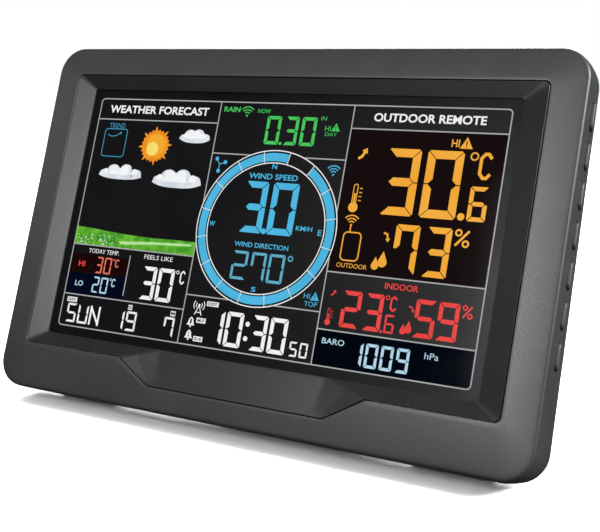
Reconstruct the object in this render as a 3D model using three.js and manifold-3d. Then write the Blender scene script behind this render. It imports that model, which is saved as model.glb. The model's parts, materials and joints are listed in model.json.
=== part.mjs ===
// Home weather station: a wedge-shaped console with a colour display, seven side keys, a rear
// kickstand and a battery bay. Millimetres, +Z up, display facing -Y, standing on a desk.
// Everything is modelled in the frame of the display face, then leaned back on its kickstand:
// x to the right, y into the case, z up the face, with zero at the display's centre.

import * as THREE from 'three';
import { mergeVertices } from 'three/addons/utils/BufferGeometryUtils.js';
import { ConvexGeometry } from 'three/addons/geometries/ConvexGeometry.js';
import Module from 'manifold-3d';

const wasm = await Module();
wasm.setup();

// ---------------------------------------------------------------- driving dimensions

const LEAN = THREE.MathUtils.degToRad(20.7);
const GAP = 0.3;                 // clearance between pieces that rest on each other
const WALL = 2.2;                // moulded wall thickness

const CASE = { halfWidth: 102.5, top: 62.9, bottom: -68.3, radius: 10 };
const FACE_EDGE_Y = -1.2;        // where the front face meets the side wall
const CROWN = 0.4;               // how far the side wall swells
const CROWN_Y = 5;
const PARTING_TOP_Y = 9.3;       // the case is thin at the top and deep at the bottom
const PARTING_BOTTOM_Y = 15.4;
const FRONT_INNER_Y = 1.2;
const PILOT_START_Y = 2;         // the screw holes in the front frame stay blind
const DISH_DEPTH = 0.4;          // shallow hollow round each side key

const LIP = { halfWidth: 91.3, top: 51.95, bottom: -51.7, radius: 2.3 };
const LIP_Y = -2.5;
const WINDOW = { halfWidth: 83.4, top: 46.8, bottom: -46.8, radius: 1 };
const WINDOW_Y = -0.5;
const SCOOP = { topHalf: 48, bottomHalf: 33.5, top: -52, bottom: -60 };
const SCOOP_FLOOR = { topHalf: 34, bottomHalf: 30 };

const PLATEAU = { halfWidth: 84, top: 46, bottom: -60, radius: 12 };
const BACK_Y = 24;               // outer face of the rear cover
const BACK_WALL = 2;
const REAR_RIM = 2;              // straight rim of the rear cover behind the parting line

const LCD = { halfWidth: 88, halfHeight: 50, front: 0.2, back: 2.4 };
const GUIDE = { left: -85, right: 86.7, top: 48.1, bottom: -46.5, front: 2.7, back: 5.2 };
const TRAY = { halfWidth: 90.5, halfHeight: 52, front: 3, floor: 5.5, back: 6.7 };
const BOARD = { halfWidth: 58, top: 40, bottom: -38, front: 7.2, back: 8.8 };

const BUTTON_COUNT = 7;
const BUTTON = { top: 43.2, pitch: 12.13, length: 8.4, width: 3.6, y: 5.7, proud: 0.9,
  flange: 1.6, dish: 1.8 };
const KEY_BOARD = { left: 93.6, right: 95, bottom: -36, top: 48.5, front: 3, back: 9.4 };
const SWITCH = { halfDepth: 2, halfHeight: 2.2, body: 1.5, stem: 2.3, stemRadius: 1.2 };

const CASE_SCREWS = [[-95.8, 55.8], [95.8, 55.8], [-95.8, -61.8], [95.8, -61.8],
  [-46, -63.4], [46, -63.4]];
const SCREW = { shaft: 0.95, head: 2.2, headHeight: 1.6, well: 2.7, seatDepth: 3, clear: 1.4,
  pilot: 1.3, post: 3, smallPost: 2.6, collar: 3.8, slot: 0.3, slotDepth: 0.7 };
const TRAY_SCREWS = [[-60, 56.3], [60, 56.3], [-60, -62.3], [60, -62.3]];
const BOARD_SCREWS = [[-53, 35], [53, 35]];
const BOARD_SCREW = { head: 1.9, length: 2.8 };
const TRAY_SCREW_LENGTH = 4;

const HINGE = { y: 21.6, z: -8, barrel: 2 };
const STAND = { halfWidth: 35.5, length: 60, thickness: 3, padLength: 4, radius: 6 };
const RECESS = { halfWidth: 36, floor: 19.3, floorWall: 1.5, top: -5.4 };
const PIN = { radius: 1, start: 25.5, length: 12, hole: 1.15, boreStart: 24, boreEnd: 40 };
const DISH = { halfWidth: 30, y: 0.9, above: 7, below: -6 };   // shallow hollow in the leaf's back

const BAY = { halfWidth: 26.5, bottom: 4, top: 38.6, floor: 11.3, wall: 1.4 };
const PLATE = { thickness: 0.4, front: 0.6, back: 3.2, edge: 0.6 };
const DOOR = { halfWidth: 30, bottom: 1, top: 41.6, thickness: 1.6, rim: 1.4, ledge: 1.2 };
const GRIP = { count: 4, inset: 4, pitch: 1.6, halfWidth: 7, halfHeight: 0.4, depth: 0.5 };
const CELL = { radius: 5.25, length: 44.5, pitch: 11.3, left: -20.2, nose: 0.9, noseRadius: 1.8 };
const SPRING = { turns: 3, steps: 12, wide: 4, taper: 1.6, wire: 0.35, gap: 1.2, reach: 4.2 };
const KEYHOLES = [-58, 58];
const KEYHOLE = { z: 24, head: 4, neck: 2, rise: 8 };
const JACK = { x: 62, z: -38, hole: 5.4, profile: [[0, 13], [5.2, 13], [5.2, 20.2], [6.5, 20.2],
  [6.5, 21.6], [5, 21.6], [5, 23.7], [2.9, 23.7], [2.9, 15], [1, 15], [1, 21.5], [0, 21.5]] };
const SENSOR = { x: -62, z: -40, halfWidth: 9, halfHeight: 7, front: 18.6, back: 19.6 };
const BUZZER = { x: -40, z: -28, profile: [[0, 9.1], [7, 9.1], [7, 13.4], [1.2, 13.4], [1.2, 12.2],
  [0, 12.2]] };
const RADIO = { left: -78, right: -62, bottom: 2, top: 22, front: 10, back: 10.8, canBack: 12.6 };
const VENTS = { count: 6, pitch: 3.6, width: 1.6, length: 16 };
const FOOT = { x: 72, halfWidth: 13, depth: 7, height: 6, ahead: 1.1, drop: 0.6 };
const FERRITE = { y: 12, z: 49.4, radius: 3.2, halfLength: 27, coilHalf: 9, coilWall: 1.5 };
const CHIPS = [   // x, z, half width, half height, thickness
  [-45, -12, 6, 6, 1.4], [-20, -22, 5, 3, 1.2], [18, -24, 4, 4, 1.2], [42, -14, 5, 7, 1.6],
  [-46, 10, 3, 2, 1], [46, 12, 3, 5, 2.2], [0, -31, 10, 2.5, 2]];
const LEDS = { left: -86.9, strip: 0.8, reach: 42, pitch: 12, last: 36, half: 1.5, front: 3.3,
  back: 4.7, stripFront: 3, stripBack: 5, depth: 1.6 };
const TRAY_POCKET = { left: -87.3, right: 87.1, bottom: -49.9, top: 48.5 };
const RIBBON = { halfWidth: 29, slot: 31, slotBottom: -49.2, slotTop: -47.4 };

// ---------------------------------------------------------------- materials

const plastic = (color, roughness = 0.6) =>
  new THREE.MeshStandardMaterial({ color, roughness, metalness: 0 });
const metal = (color, roughness = 0.35) =>
  new THREE.MeshStandardMaterial({ color, roughness, metalness: 1 });

const CHARCOAL = plastic(0x45464a);
const BEZEL_BLACK = plastic(0x1b1c1e, 0.45);
const LENS = new THREE.MeshStandardMaterial({ color: 0xf4f8fa, roughness: 0.05,
  transparent: true, opacity: 0.3 });
const LCD_GLASS = plastic(0x08090b, 0.1);
const FROSTED = plastic(0xe6ecec, 0.5);
const WHITE = plastic(0xe2e3e0);
const BOARD_GREEN = plastic(0x1f5a34);
const RUBBER = plastic(0x151515, 0.9);
const STEEL = metal(0xb9bbbf);
const BLACK = plastic(0x111111);
const CELL_WRAP = plastic(0x2e6b8a, 0.35);
const COPPER = metal(0xb36b3a);
const AMBER = plastic(0x8a5a1e);

// ---------------------------------------------------------------- solids

function solid(geometry) {
  const bare = geometry.clone();
  bare.deleteAttribute('normal');
  bare.deleteAttribute('uv');
  const merged = mergeVertices(bare, 1e-4);
  return new wasm.Manifold(new wasm.Mesh({
    numProp: 3,
    vertProperties: new Float32Array(merged.attributes.position.array),
    triVerts: new Uint32Array(merged.index.array),
  }));
}

function geometryOf(manifold) {
  const mesh = manifold.getMesh();
  const geometry = new THREE.BufferGeometry();
  geometry.setAttribute('position', new THREE.BufferAttribute(mesh.vertProperties, 3));
  geometry.setIndex(new THREE.BufferAttribute(mesh.triVerts, 1));
  geometry.computeVertexNormals();
  return geometry;
}

const union = (first, ...rest) => rest.reduce((sum, piece) => sum.add(piece), first);
const without = (first, ...rest) => rest.reduce((left, piece) => left.subtract(piece), first);

function block(x0, x1, y0, y1, z0, z1) {
  const geometry = new THREE.BoxGeometry(x1 - x0, y1 - y0, z1 - z0);
  return solid(geometry.translate((x0 + x1) / 2, (y0 + y1) / 2, (z0 + z1) / 2));
}

// A round rod along y, from y0 to y1.
function rodY(x, z, radius, y0, y1, sides = 16) {
  const geometry = new THREE.CylinderGeometry(radius, radius, y1 - y0, sides);
  return solid(geometry.translate(x, (y0 + y1) / 2, z));
}

// A round rod along x, from x0 to x1.
function rodX(y, z, radius, x0, x1, sides = 16) {
  const geometry = new THREE.CylinderGeometry(radius, radius, x1 - x0, sides);
  return solid(geometry.rotateZ(Math.PI / 2).translate((x0 + x1) / 2, y, z));
}

// An x-z outline pushed through from y0 to y1.
function prismY(shape, y0, y1, curveSegments = 8) {
  const geometry = new THREE.ExtrudeGeometry(shape,
    { depth: y1 - y0, bevelEnabled: false, curveSegments });
  return solid(geometry.rotateX(Math.PI / 2).translate(0, y1, 0));
}

// A y-z outline pushed along x, from x0 to x1.
function prismX(shape, x0, x1, curveSegments = 8) {
  const geometry = new THREE.ExtrudeGeometry(shape,
    { depth: x1 - x0, bevelEnabled: false, curveSegments });
  geometry.rotateX(Math.PI / 2).rotateZ(Math.PI / 2);
  return solid(geometry.translate(x0, 0, 0));
}

function latheY(profile, x, z, sides = 24) {
  const points = profile.map(([radius, y]) => new THREE.Vector2(radius, y));
  return solid(new THREE.LatheGeometry(points, sides).translate(x, 0, z));
}

const grown = (frame, by) => ({ halfWidth: frame.halfWidth + by, top: frame.top + by,
  bottom: frame.bottom - by, radius: Math.max(frame.radius + by, 0.4) });

// Corner-rounded outline as a list of points, the same number for every size.
function outlinePoints(frame, steps = 6) {
  const { halfWidth, top, bottom, radius } = frame;
  const corners = [[halfWidth, top, 0], [-halfWidth, top, 1], [-halfWidth, bottom, 2],
    [halfWidth, bottom, 3]];
  return corners.flatMap(([x, z, quarter]) => Array.from({ length: steps + 1 }, (_, i) => {
    const angle = (quarter + i / steps) * Math.PI / 2;
    return new THREE.Vector2(x - Math.sign(x) * radius + radius * Math.cos(angle),
      z - (z === top ? radius : -radius) + radius * Math.sin(angle));
  }));
}

const frameShape = (frame, steps) => new THREE.Shape(outlinePoints(frame, steps));
const ring = (frame, depthAt) =>
  outlinePoints(frame).map((p) => new THREE.Vector3(p.x, depthAt(p.y), p.y));

// A closed skin over rings of equal length, from the front ring to the back ring.
function loft(rings) {
  const count = rings[0].length;
  const index = [];
  for (let r = 0; r + 1 < rings.length; r += 1) {
    for (let i = 0; i < count; i += 1) {
      const a = r * count + i;
      const b = r * count + (i + 1) % count;
      index.push(a, b + count, b, a, a + count, b + count);
    }
  }
  const last = (rings.length - 1) * count;
  for (let i = 1; i + 1 < count; i += 1) {
    index.push(0, i, i + 1, last, last + i + 1, last + i);
  }
  const geometry = new THREE.BufferGeometry().setFromPoints(rings.flat());
  geometry.setIndex(index);
  return solid(geometry);
}

const partingY = (z) => PARTING_TOP_Y
  + (PARTING_BOTTOM_Y - PARTING_TOP_Y) * (CASE.top - z) / (CASE.top - CASE.bottom);

// ---------------------------------------------------------------- the case

// The whole outer form of the case, grown by an offset, used for the shells and the feet.
function frontForm(by = 0) {
  return loft([
    ring(grown(LIP, 0.3 + by), () => LIP_Y - by),
    ring(grown(CASE, by), () => FACE_EDGE_Y),
    ring(grown(CASE, CROWN + by), () => CROWN_Y),
    ring(grown(CASE, CROWN / 2 + by), (z) => partingY(z) + by),
  ]);
}

function rearForm(by = 0) {
  return loft([
    ring(grown(CASE, CROWN / 2 + by), (z) => partingY(z) + GAP - by),
    ring(grown(CASE, -0.4 + by), (z) => partingY(z) + REAR_RIM),
    ring(grown(PLATEAU, by), () => BACK_Y + by),
  ]);
}

const scoopShape = (by) => new THREE.Shape([
  new THREE.Vector2(-SCOOP.topHalf - by, SCOOP.top), new THREE.Vector2(-SCOOP.topHalf - by, -48),
  new THREE.Vector2(SCOOP.topHalf + by, -48), new THREE.Vector2(SCOOP.topHalf + by, SCOOP.top),
  new THREE.Vector2(SCOOP.bottomHalf + by, SCOOP.bottom - by),
  new THREE.Vector2(-SCOOP.bottomHalf - by, SCOOP.bottom - by),
]);

const buttonZ = (i) => BUTTON.top - i * BUTTON.pitch;

// A slot with round ends, long along z, in the side wall.
function pillX(z, length, width, x0, x1) {
  const half = width / 2;
  const reach = length / 2 - half;
  return union(block(x0, x1, BUTTON.y - half, BUTTON.y + half, z - reach, z + reach),
    rodX(BUTTON.y, z - reach, half, x0, x1), rodX(BUTTON.y, z + reach, half, x0, x1));
}

function frontFrame() {
  const cavity = loft([
    ring(grown(CASE, -WALL), () => FRONT_INNER_Y),
    ring(grown(CASE, -WALL), (z) => partingY(z) + 2),
  ]);
  let body = without(frontForm(), cavity, prismY(frameShape(LIP, 4), LIP_Y - 2, 3),
    prismY(scoopShape(0), LIP_Y - 2, 3));
  const root = FRONT_INNER_Y - 0.4;
  for (const [x, z] of CASE_SCREWS) {
    body = body.add(rodY(x, z, SCREW.post, root, partingY(z) - 1));
  }
  for (const [x, z] of TRAY_SCREWS) {
    body = body.add(rodY(x, z, SCREW.smallPost, root, TRAY.floor - GAP));
  }
  for (const z of [KEY_BOARD.bottom - 1.5, KEY_BOARD.top + 1.5]) {
    const wallIn = CASE.halfWidth - WALL + 0.5;
    body = body.add(block(KEY_BOARD.left - 0.6, wallIn, root, 8.6, z - 1, z + 1));
  }
  for (const [x, z] of [...CASE_SCREWS, ...TRAY_SCREWS]) {
    body = body.subtract(rodY(x, z, SCREW.pilot, PILOT_START_Y, partingY(z)));
  }
  const outside = CASE.halfWidth + 4;
  for (let i = 0; i < BUTTON_COUNT; i += 1) {
    const z = buttonZ(i);
    const { length, width, dish } = BUTTON;
    body = without(body,
      pillX(z, length + 2 * GAP, width + 2 * GAP, CASE.halfWidth - 4, outside),
      pillX(z, length + dish, width + dish, CASE.halfWidth - DISH_DEPTH, outside));
  }
  return body;
}

function innerBezel() {
  const opening = grown(LIP, -GAP);
  const hidden = grown(LIP, 1.1);
  const funnel = loft([
    ring(opening, () => LIP_Y - 2),
    ring(opening, () => LIP_Y),
    ring(WINDOW, () => WINDOW_Y),
    ring(WINDOW, () => WINDOW_Y + 2),
  ]);
  const faceAt = (z) => LIP_Y
    + (FACE_EDGE_Y - LIP_Y) * (LIP.bottom - z) / (LIP.bottom - CASE.bottom);
  const scoop = [];
  for (const side of [-1, 1]) {
    scoop.push(new THREE.Vector3(side * SCOOP.topHalf, LIP_Y, WINDOW.bottom),
      new THREE.Vector3(side * SCOOP.topHalf, LIP_Y, SCOOP.top),
      new THREE.Vector3(side * SCOOP.bottomHalf, faceAt(SCOOP.bottom), SCOOP.bottom),
      new THREE.Vector3(side * SCOOP_FLOOR.topHalf, WINDOW_Y, WINDOW.bottom),
      new THREE.Vector3(side * SCOOP_FLOOR.bottomHalf, faceAt(SCOOP.bottom), SCOOP.bottom),
      new THREE.Vector3(side * (SCOOP.topHalf + 2), LIP_Y - 3, WINDOW.bottom),
      new THREE.Vector3(side * (SCOOP.topHalf + 2), LIP_Y - 3, SCOOP.bottom - 1));
  }
  const body = union(prismY(frameShape(opening, 4), LIP_Y, 1.8),
    prismY(frameShape(hidden, 4), 1.5, 2.7), prismY(scoopShape(-GAP), LIP_Y, 1.1));
  const lcdSeat = block(-LCD.halfWidth - GAP, LCD.halfWidth + GAP, 0, 4,
    -LCD.halfHeight - GAP, LCD.halfHeight + GAP);
  return without(body, funnel, solid(new ConvexGeometry(scoop)), lcdSeat);
}

// ---------------------------------------------------------------- display stack

const displayLens = () =>
  prismY(frameShape(grown(WINDOW, -GAP), 3), WINDOW_Y + 0.05, 0);

function lcdPanel() {
  const { halfWidth, halfHeight, front, back } = LCD;
  const middle = (front + back) / 2;
  return block(-halfWidth, halfWidth, front, middle + 0.01, -halfHeight, halfHeight).add(
    block(-halfWidth, halfWidth, middle, back, -halfHeight + 1.5, halfHeight));
}

const lightGuide = () =>
  block(GUIDE.left, GUIDE.right, GUIDE.front, GUIDE.back, GUIDE.bottom, GUIDE.top);

function backlightStrip() {
  const { left, strip, reach, pitch, last, half, front, back, depth } = LEDS;
  let body = block(left, left + strip, LEDS.stripFront, LEDS.stripBack, -reach, reach);
  for (let z = -last; z <= last; z += pitch) {
    body = body.add(block(left + strip - 0.1, left + depth, front, back, z - half, z + half));
  }
  return body;
}

function lcdTray() {
  const { halfWidth, halfHeight, front, floor, back } = TRAY;
  const ears = TRAY_SCREWS.map(([x, z]) => {
    const ends = [Math.sign(z) * (halfHeight - 2), z + Math.sign(z) * 3];
    return block(x - 4, x + 4, floor, back, Math.min(...ends), Math.max(...ends));
  });
  const holes = [...TRAY_SCREWS, ...BOARD_SCREWS].map(([x, z]) =>
    rodY(x, z, SCREW.pilot, floor - 1, back + 1));
  const pocket = TRAY_POCKET;
  return without(
    union(block(-halfWidth, halfWidth, front, back, -halfHeight, halfHeight), ...ears),
    block(pocket.left, pocket.right, front - 1, floor, pocket.bottom, pocket.top),
    block(-RIBBON.slot, RIBBON.slot, floor - 1, back + 1, RIBBON.slotBottom, RIBBON.slotTop),
    ...holes);
}

// The flat ribbon runs from the glass ledge back through the tray to the main board.
function lcdRibbon() {
  const path = [[2.7, -49.6], [2.95, -49.6], [2.95, -48.35], [8, -48.35], [8, -38.4],
    [7.75, -38.4], [7.75, -48.1], [2.7, -48.1]];
  const shape = new THREE.Shape(path.map(([y, z]) => new THREE.Vector2(y, z)));
  return prismX(shape, -RIBBON.halfWidth, RIBBON.halfWidth);
}

// ---------------------------------------------------------------- electronics

function mainBoard() {
  const { halfWidth, top, bottom, front, back } = BOARD;
  const parts = CHIPS.map(([x, z, halfX, halfZ, height]) =>
    block(x - halfX, x + halfX, back - 0.1, back + height, z - halfZ, z + halfZ));
  const holes = BOARD_SCREWS.map(([x, z]) => rodY(x, z, SCREW.clear, front - 1, back + 1));
  return without(union(block(-halfWidth, halfWidth, front, back, bottom, top), ...parts),
    ...holes);
}

function radioModule() {
  const { left, right, bottom, top, front, back, canBack } = RADIO;
  return block(left, right, front, back, bottom, top).add(
    block(left + 2, right - 2, back - 0.1, canBack, bottom + 2, top - 7));
}

function sensorBoard() {
  const { x, z, halfWidth, halfHeight, front, back } = SENSOR;
  return block(x - halfWidth, x + halfWidth, front, back, z - halfHeight, z + halfHeight).add(
    block(x - 1.5, x + 1.5, back - 0.1, back + 1, z - 1.5, z + 1.5));
}

const buzzer = () => latheY(BUZZER.profile, BUZZER.x, BUZZER.z);

const ferriteRod = () => rodX(FERRITE.y, FERRITE.z, FERRITE.radius, -FERRITE.halfLength,
  FERRITE.halfLength);

function antennaCoil() {
  const { y, z, radius, coilHalf, coilWall } = FERRITE;
  return rodX(y, z, radius + coilWall, -coilHalf, coilHalf).subtract(
    rodX(y, z, radius + GAP, -coilHalf - 1, coilHalf + 1));
}

const dcJack = () => latheY(JACK.profile, JACK.x, JACK.z, 16);

function buttonBoard() {
  const { left, right, bottom, top, front, back } = KEY_BOARD;
  const { halfDepth, halfHeight, body, stem, stemRadius } = SWITCH;
  const { y } = BUTTON;
  let board = block(left, right, front, back, bottom, top);
  for (let i = 0; i < BUTTON_COUNT; i += 1) {
    const z = buttonZ(i);
    board = union(board,
      block(right - 0.1, right + body, y - halfDepth, y + halfDepth, z - halfHeight, z + halfHeight),
      rodX(y, z, stemRadius, right + body - 0.1, right + stem, 12));
  }
  return board;
}

// ---------------------------------------------------------------- keys

function button(i) {
  const z = buttonZ(i);
  const wallOut = CASE.halfWidth + CROWN;
  const wallIn = CASE.halfWidth - WALL;
  const { length, width, proud, flange, y } = BUTTON;
  return union(
    pillX(z, length, width, wallIn - 0.6, wallOut + proud - 0.5),
    pillX(z, length - 0.9, width - 0.9, wallOut, wallOut + proud),
    pillX(z, length + flange, width + flange, wallIn - 1.4, wallIn - GAP),
    rodX(y, z, 1.4, wallIn - 2, wallIn - 1.3, 12));
}

// ---------------------------------------------------------------- rear cover

function keyhole(x) {
  const { z, head, neck, rise } = KEYHOLE;
  return union(rodY(x, z, head, BACK_Y - 4, BACK_Y + 1), rodY(x, z + rise, neck, BACK_Y - 4,
    BACK_Y + 1), block(x - neck, x + neck, BACK_Y - 4, BACK_Y + 1, z, z + rise));
}

const vents = () => Array.from({ length: VENTS.count }, (_, i) => {
  const x = SENSOR.x + (i - (VENTS.count - 1) / 2) * VENTS.pitch;
  return block(x - VENTS.width / 2, x + VENTS.width / 2, BACK_Y - 4, BACK_Y + 1,
    SENSOR.z - VENTS.length / 2, SENSOR.z + VENTS.length / 2);
});

// Where the outer face of the rear cover's slope lies above a screw.
function slopeY(x, z) {
  const edge = grown(CASE, -0.4);
  const across = (edge.halfWidth - Math.abs(x)) / (edge.halfWidth - PLATEAU.halfWidth);
  const along = z > 0 ? (edge.top - z) / (edge.top - PLATEAU.top)
    : (z - edge.bottom) / (PLATEAU.bottom - edge.bottom);
  const start = partingY(z) + REAR_RIM;
  return start + (BACK_Y - start) * Math.min(across, along, 1);
}

const screwSeatY = ([x, z]) => Math.max(slopeY(x, z) - SCREW.seatDepth, partingY(z) + 1.6);

function rearShell() {
  return rearForm().subtract(loft([
    ring(grown(CASE, -WALL), (z) => partingY(z) - 1),
    ring(grown(CASE, -WALL - 0.4), (z) => partingY(z) + REAR_RIM - 0.6),
    ring(grown(PLATEAU, -BACK_WALL), () => BACK_Y - BACK_WALL),
  ]));
}

// The pocket that the folded stand lies in, open towards the desk, with a bore for each hinge pin.
function withStandRecess(shell) {
  const { halfWidth, floor, floorWall, top } = RECESS;
  const below = CASE.bottom - 12;
  const pocket = block(-halfWidth - 2, halfWidth + 2, floor - floorWall, BACK_Y - 1, below, top + 2);
  const bores = [-1, 1].map((side) => {
    const ends = [side * (halfWidth - 1), side * (halfWidth + 1.6)];
    return rodX(HINGE.y, HINGE.z, PIN.hole, Math.min(...ends), Math.max(...ends), 16);
  });
  return without(shell.add(pocket.intersect(rearForm())),
    block(-halfWidth, halfWidth, floor, BACK_Y + 4, below, top), ...bores);
}

// The battery bay and the seat that its door lies in.
function withBatteryBay(shell) {
  const { halfWidth, bottom, top, floor, wall } = BAY;
  const seat = BACK_Y - DOOR.thickness - GAP;
  const rim = DOOR.halfWidth + DOOR.rim;
  const walled = union(shell,
    block(-halfWidth - wall, halfWidth + wall, floor - wall, BACK_Y - 1, bottom - wall, top + wall),
    block(-rim, rim, seat - DOOR.ledge, BACK_Y - 1, DOOR.bottom - DOOR.rim, DOOR.top + DOOR.rim));
  return without(walled,
    block(-halfWidth, halfWidth, floor, BACK_Y + 1, bottom, top),
    block(-DOOR.halfWidth - GAP, DOOR.halfWidth + GAP, seat, BACK_Y + 1, DOOR.bottom - GAP,
      DOOR.top + GAP));
}

function rearCover() {
  const collars = CASE_SCREWS.map(([x, z]) =>
    rodY(x, z, SCREW.collar, partingY(z) + GAP + 0.2, BACK_Y).intersect(rearForm()));
  const wells = CASE_SCREWS.flatMap((spot) => {
    const [x, z] = spot;
    return [rodY(x, z, SCREW.well, screwSeatY(spot), BACK_Y + 2),
      rodY(x, z, SCREW.clear, partingY(z), BACK_Y)];
  });
  const sensorPosts = [-1, 1].map((side) => rodY(SENSOR.x + side * (SENSOR.halfWidth - 1.5),
    SENSOR.z, 1.2, SENSOR.back + GAP, BACK_Y - 1, 12));
  const shell = withBatteryBay(withStandRecess(union(rearShell(), ...collars)));
  return without(union(shell.subtract(union(...wells)), ...sensorPosts),
    ...KEYHOLES.map(keyhole), ...vents(), rodY(JACK.x, JACK.z, JACK.hole, BACK_Y - 4, BACK_Y + 1, 24));
}

function batteryDoor() {
  const { halfWidth, bottom, top, thickness } = DOOR;
  let door = block(-halfWidth, halfWidth, BACK_Y - thickness, BACK_Y, bottom, top);
  for (let i = 0; i < GRIP.count; i += 1) {
    const z = top - GRIP.inset - i * GRIP.pitch;
    door = door.subtract(block(-GRIP.halfWidth, GRIP.halfWidth, BACK_Y - GRIP.depth, BACK_Y + 1,
      z - GRIP.halfHeight, z + GRIP.halfHeight));
  }
  return door;
}

const cellZ = (i) => (BAY.bottom + BAY.top) / 2 + (i - 1) * CELL.pitch;
const CELL_Y = BAY.floor + GAP + CELL.radius;

function cell(i) {
  const flip = i % 2 === 1;
  const shoulder = CELL.left + CELL.length - CELL.nose;
  const body = union(rodX(CELL_Y, cellZ(i), CELL.radius, CELL.left, shoulder, 24),
    rodX(CELL_Y, cellZ(i), CELL.noseRadius, shoulder - 0.1, CELL.left + CELL.length, 16));
  return flip ? body.mirror([1, 0, 0]) : body;
}

// A compression spring at the flat end of each cell.
function cellSpring(i) {
  const flip = i % 2 === 1 ? -1 : 1;
  const { turns, steps, wide, taper, gap, reach } = SPRING;
  const points = [];
  for (let k = 0; k <= turns * steps; k += 1) {
    const share = k / (turns * steps);
    const radius = wide - taper * share;
    const angle = share * turns * 2 * Math.PI;
    points.push(new THREE.Vector3(flip * (-BAY.halfWidth + gap + reach * share),
      CELL_Y + radius * Math.cos(angle), cellZ(i) + radius * Math.sin(angle)));
  }
  const wire = new THREE.Shape().absarc(0, 0, SPRING.wire, 0, Math.PI * 2);
  return solid(new THREE.ExtrudeGeometry(wire, { steps: turns * steps, curveSegments: 3,
    extrudePath: new THREE.CatmullRomCurve3(points), bevelEnabled: false }));
}

function contactPlate(side) {
  const outer = side * (BAY.halfWidth - GAP);
  const inner = outer - side * PLATE.thickness;
  return block(Math.min(outer, inner), Math.max(outer, inner), BAY.floor + PLATE.front,
    BACK_Y - PLATE.back, BAY.bottom + PLATE.edge, BAY.top - PLATE.edge);
}

// ---------------------------------------------------------------- fasteners

function screw(x, z, seatY, length, headRadius = SCREW.head) {
  const reach = headRadius * 0.6;
  const top = seatY + SCREW.headHeight;
  const { slot, slotDepth } = SCREW;
  return without(
    union(rodY(x, z, headRadius, seatY + 0.1, top, 16),
      rodY(x, z, SCREW.shaft, seatY - length, seatY + 0.2, 12)),
    block(x - reach, x + reach, top - slotDepth, top + 1, z - slot, z + slot),
    block(x - slot, x + slot, top - slotDepth, top + 1, z - reach, z + reach));
}

// ---------------------------------------------------------------- kickstand and feet

// The kickstand hangs from its pivot in its own frame: x across, z up the leaf, y through it.
function kickstand() {
  const { halfWidth, length, thickness, padLength, radius } = STAND;
  const tip = -(length - padLength);
  const leaf = new THREE.Shape();
  leaf.moveTo(-halfWidth, 0).lineTo(-halfWidth, tip + radius);
  leaf.absarc(-halfWidth + radius, tip + radius, radius, Math.PI, 1.5 * Math.PI);
  leaf.absarc(halfWidth - radius, tip + radius, radius, 1.5 * Math.PI, 2 * Math.PI);
  leaf.lineTo(halfWidth, 0);
  const plate = prismY(leaf, -thickness / 2, thickness / 2);
  const barrel = rodX(0, 0, HINGE.barrel, -halfWidth, halfWidth);
  const dish = block(-DISH.halfWidth, DISH.halfWidth, DISH.y, thickness, tip + DISH.above, DISH.below);
  const holes = [-1, 1].map((side) => {
    const ends = [side * PIN.boreStart, side * PIN.boreEnd];
    return rodX(0, 0, PIN.hole, Math.min(...ends), Math.max(...ends), 16);
  });
  return without(plate.add(barrel), dish, ...holes);
}

function kickstandPad(tilt) {
  const { halfWidth, length, thickness, padLength, radius } = STAND;
  const half = thickness / 2;
  const start = -(length - padLength) - GAP;
  const endAt = (y) => -length - y * Math.tan(tilt);
  const outline = [[-half, start], [half, start], [half, endAt(half)], [-half, endAt(-half)]];
  return prismX(new THREE.Shape(outline.map(([y, z]) => new THREE.Vector2(y, z))),
    -halfWidth + radius, halfWidth - radius);
}

function hingePin(side) {
  const ends = [side * PIN.start, side * (PIN.start + PIN.length)];
  return rodX(HINGE.y, HINGE.z, PIN.radius, Math.min(...ends), Math.max(...ends), 16);
}

// The feet are pads under the bottom edge, cut to the case above and level with the desk below.
const heightOf = (y, z) => z * Math.cos(LEAN) - y * Math.sin(LEAN);
const FOOT_Y = partingY(CASE.bottom) + REAR_RIM;
const DESK = heightOf(FOOT_Y, CASE.bottom - CROWN) - FOOT.drop;
const STAND_TILT = Math.acos((heightOf(HINGE.y, HINGE.z) - DESK) / STAND.length);

function foot(side) {
  const { x, halfWidth, depth, height, ahead } = FOOT;
  const front = (FOOT_Y - ahead) * Math.cos(LEAN) + CASE.bottom * Math.sin(LEAN);
  const pad = new THREE.BoxGeometry(2 * halfWidth, depth, height);
  pad.translate(side * x, front + depth / 2, DESK + height / 2).rotateX(LEAN);
  return without(solid(pad), frontForm(GAP), rearForm(GAP));
}

// ---------------------------------------------------------------- assembly

function named(name, manifold, material) {
  const mesh = new THREE.Mesh(geometryOf(manifold), material);
  mesh.name = name;
  return mesh;
}

const station = new THREE.Group();
const leaned = new THREE.Group();
leaned.rotation.x = -LEAN;
station.add(leaned);

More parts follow.
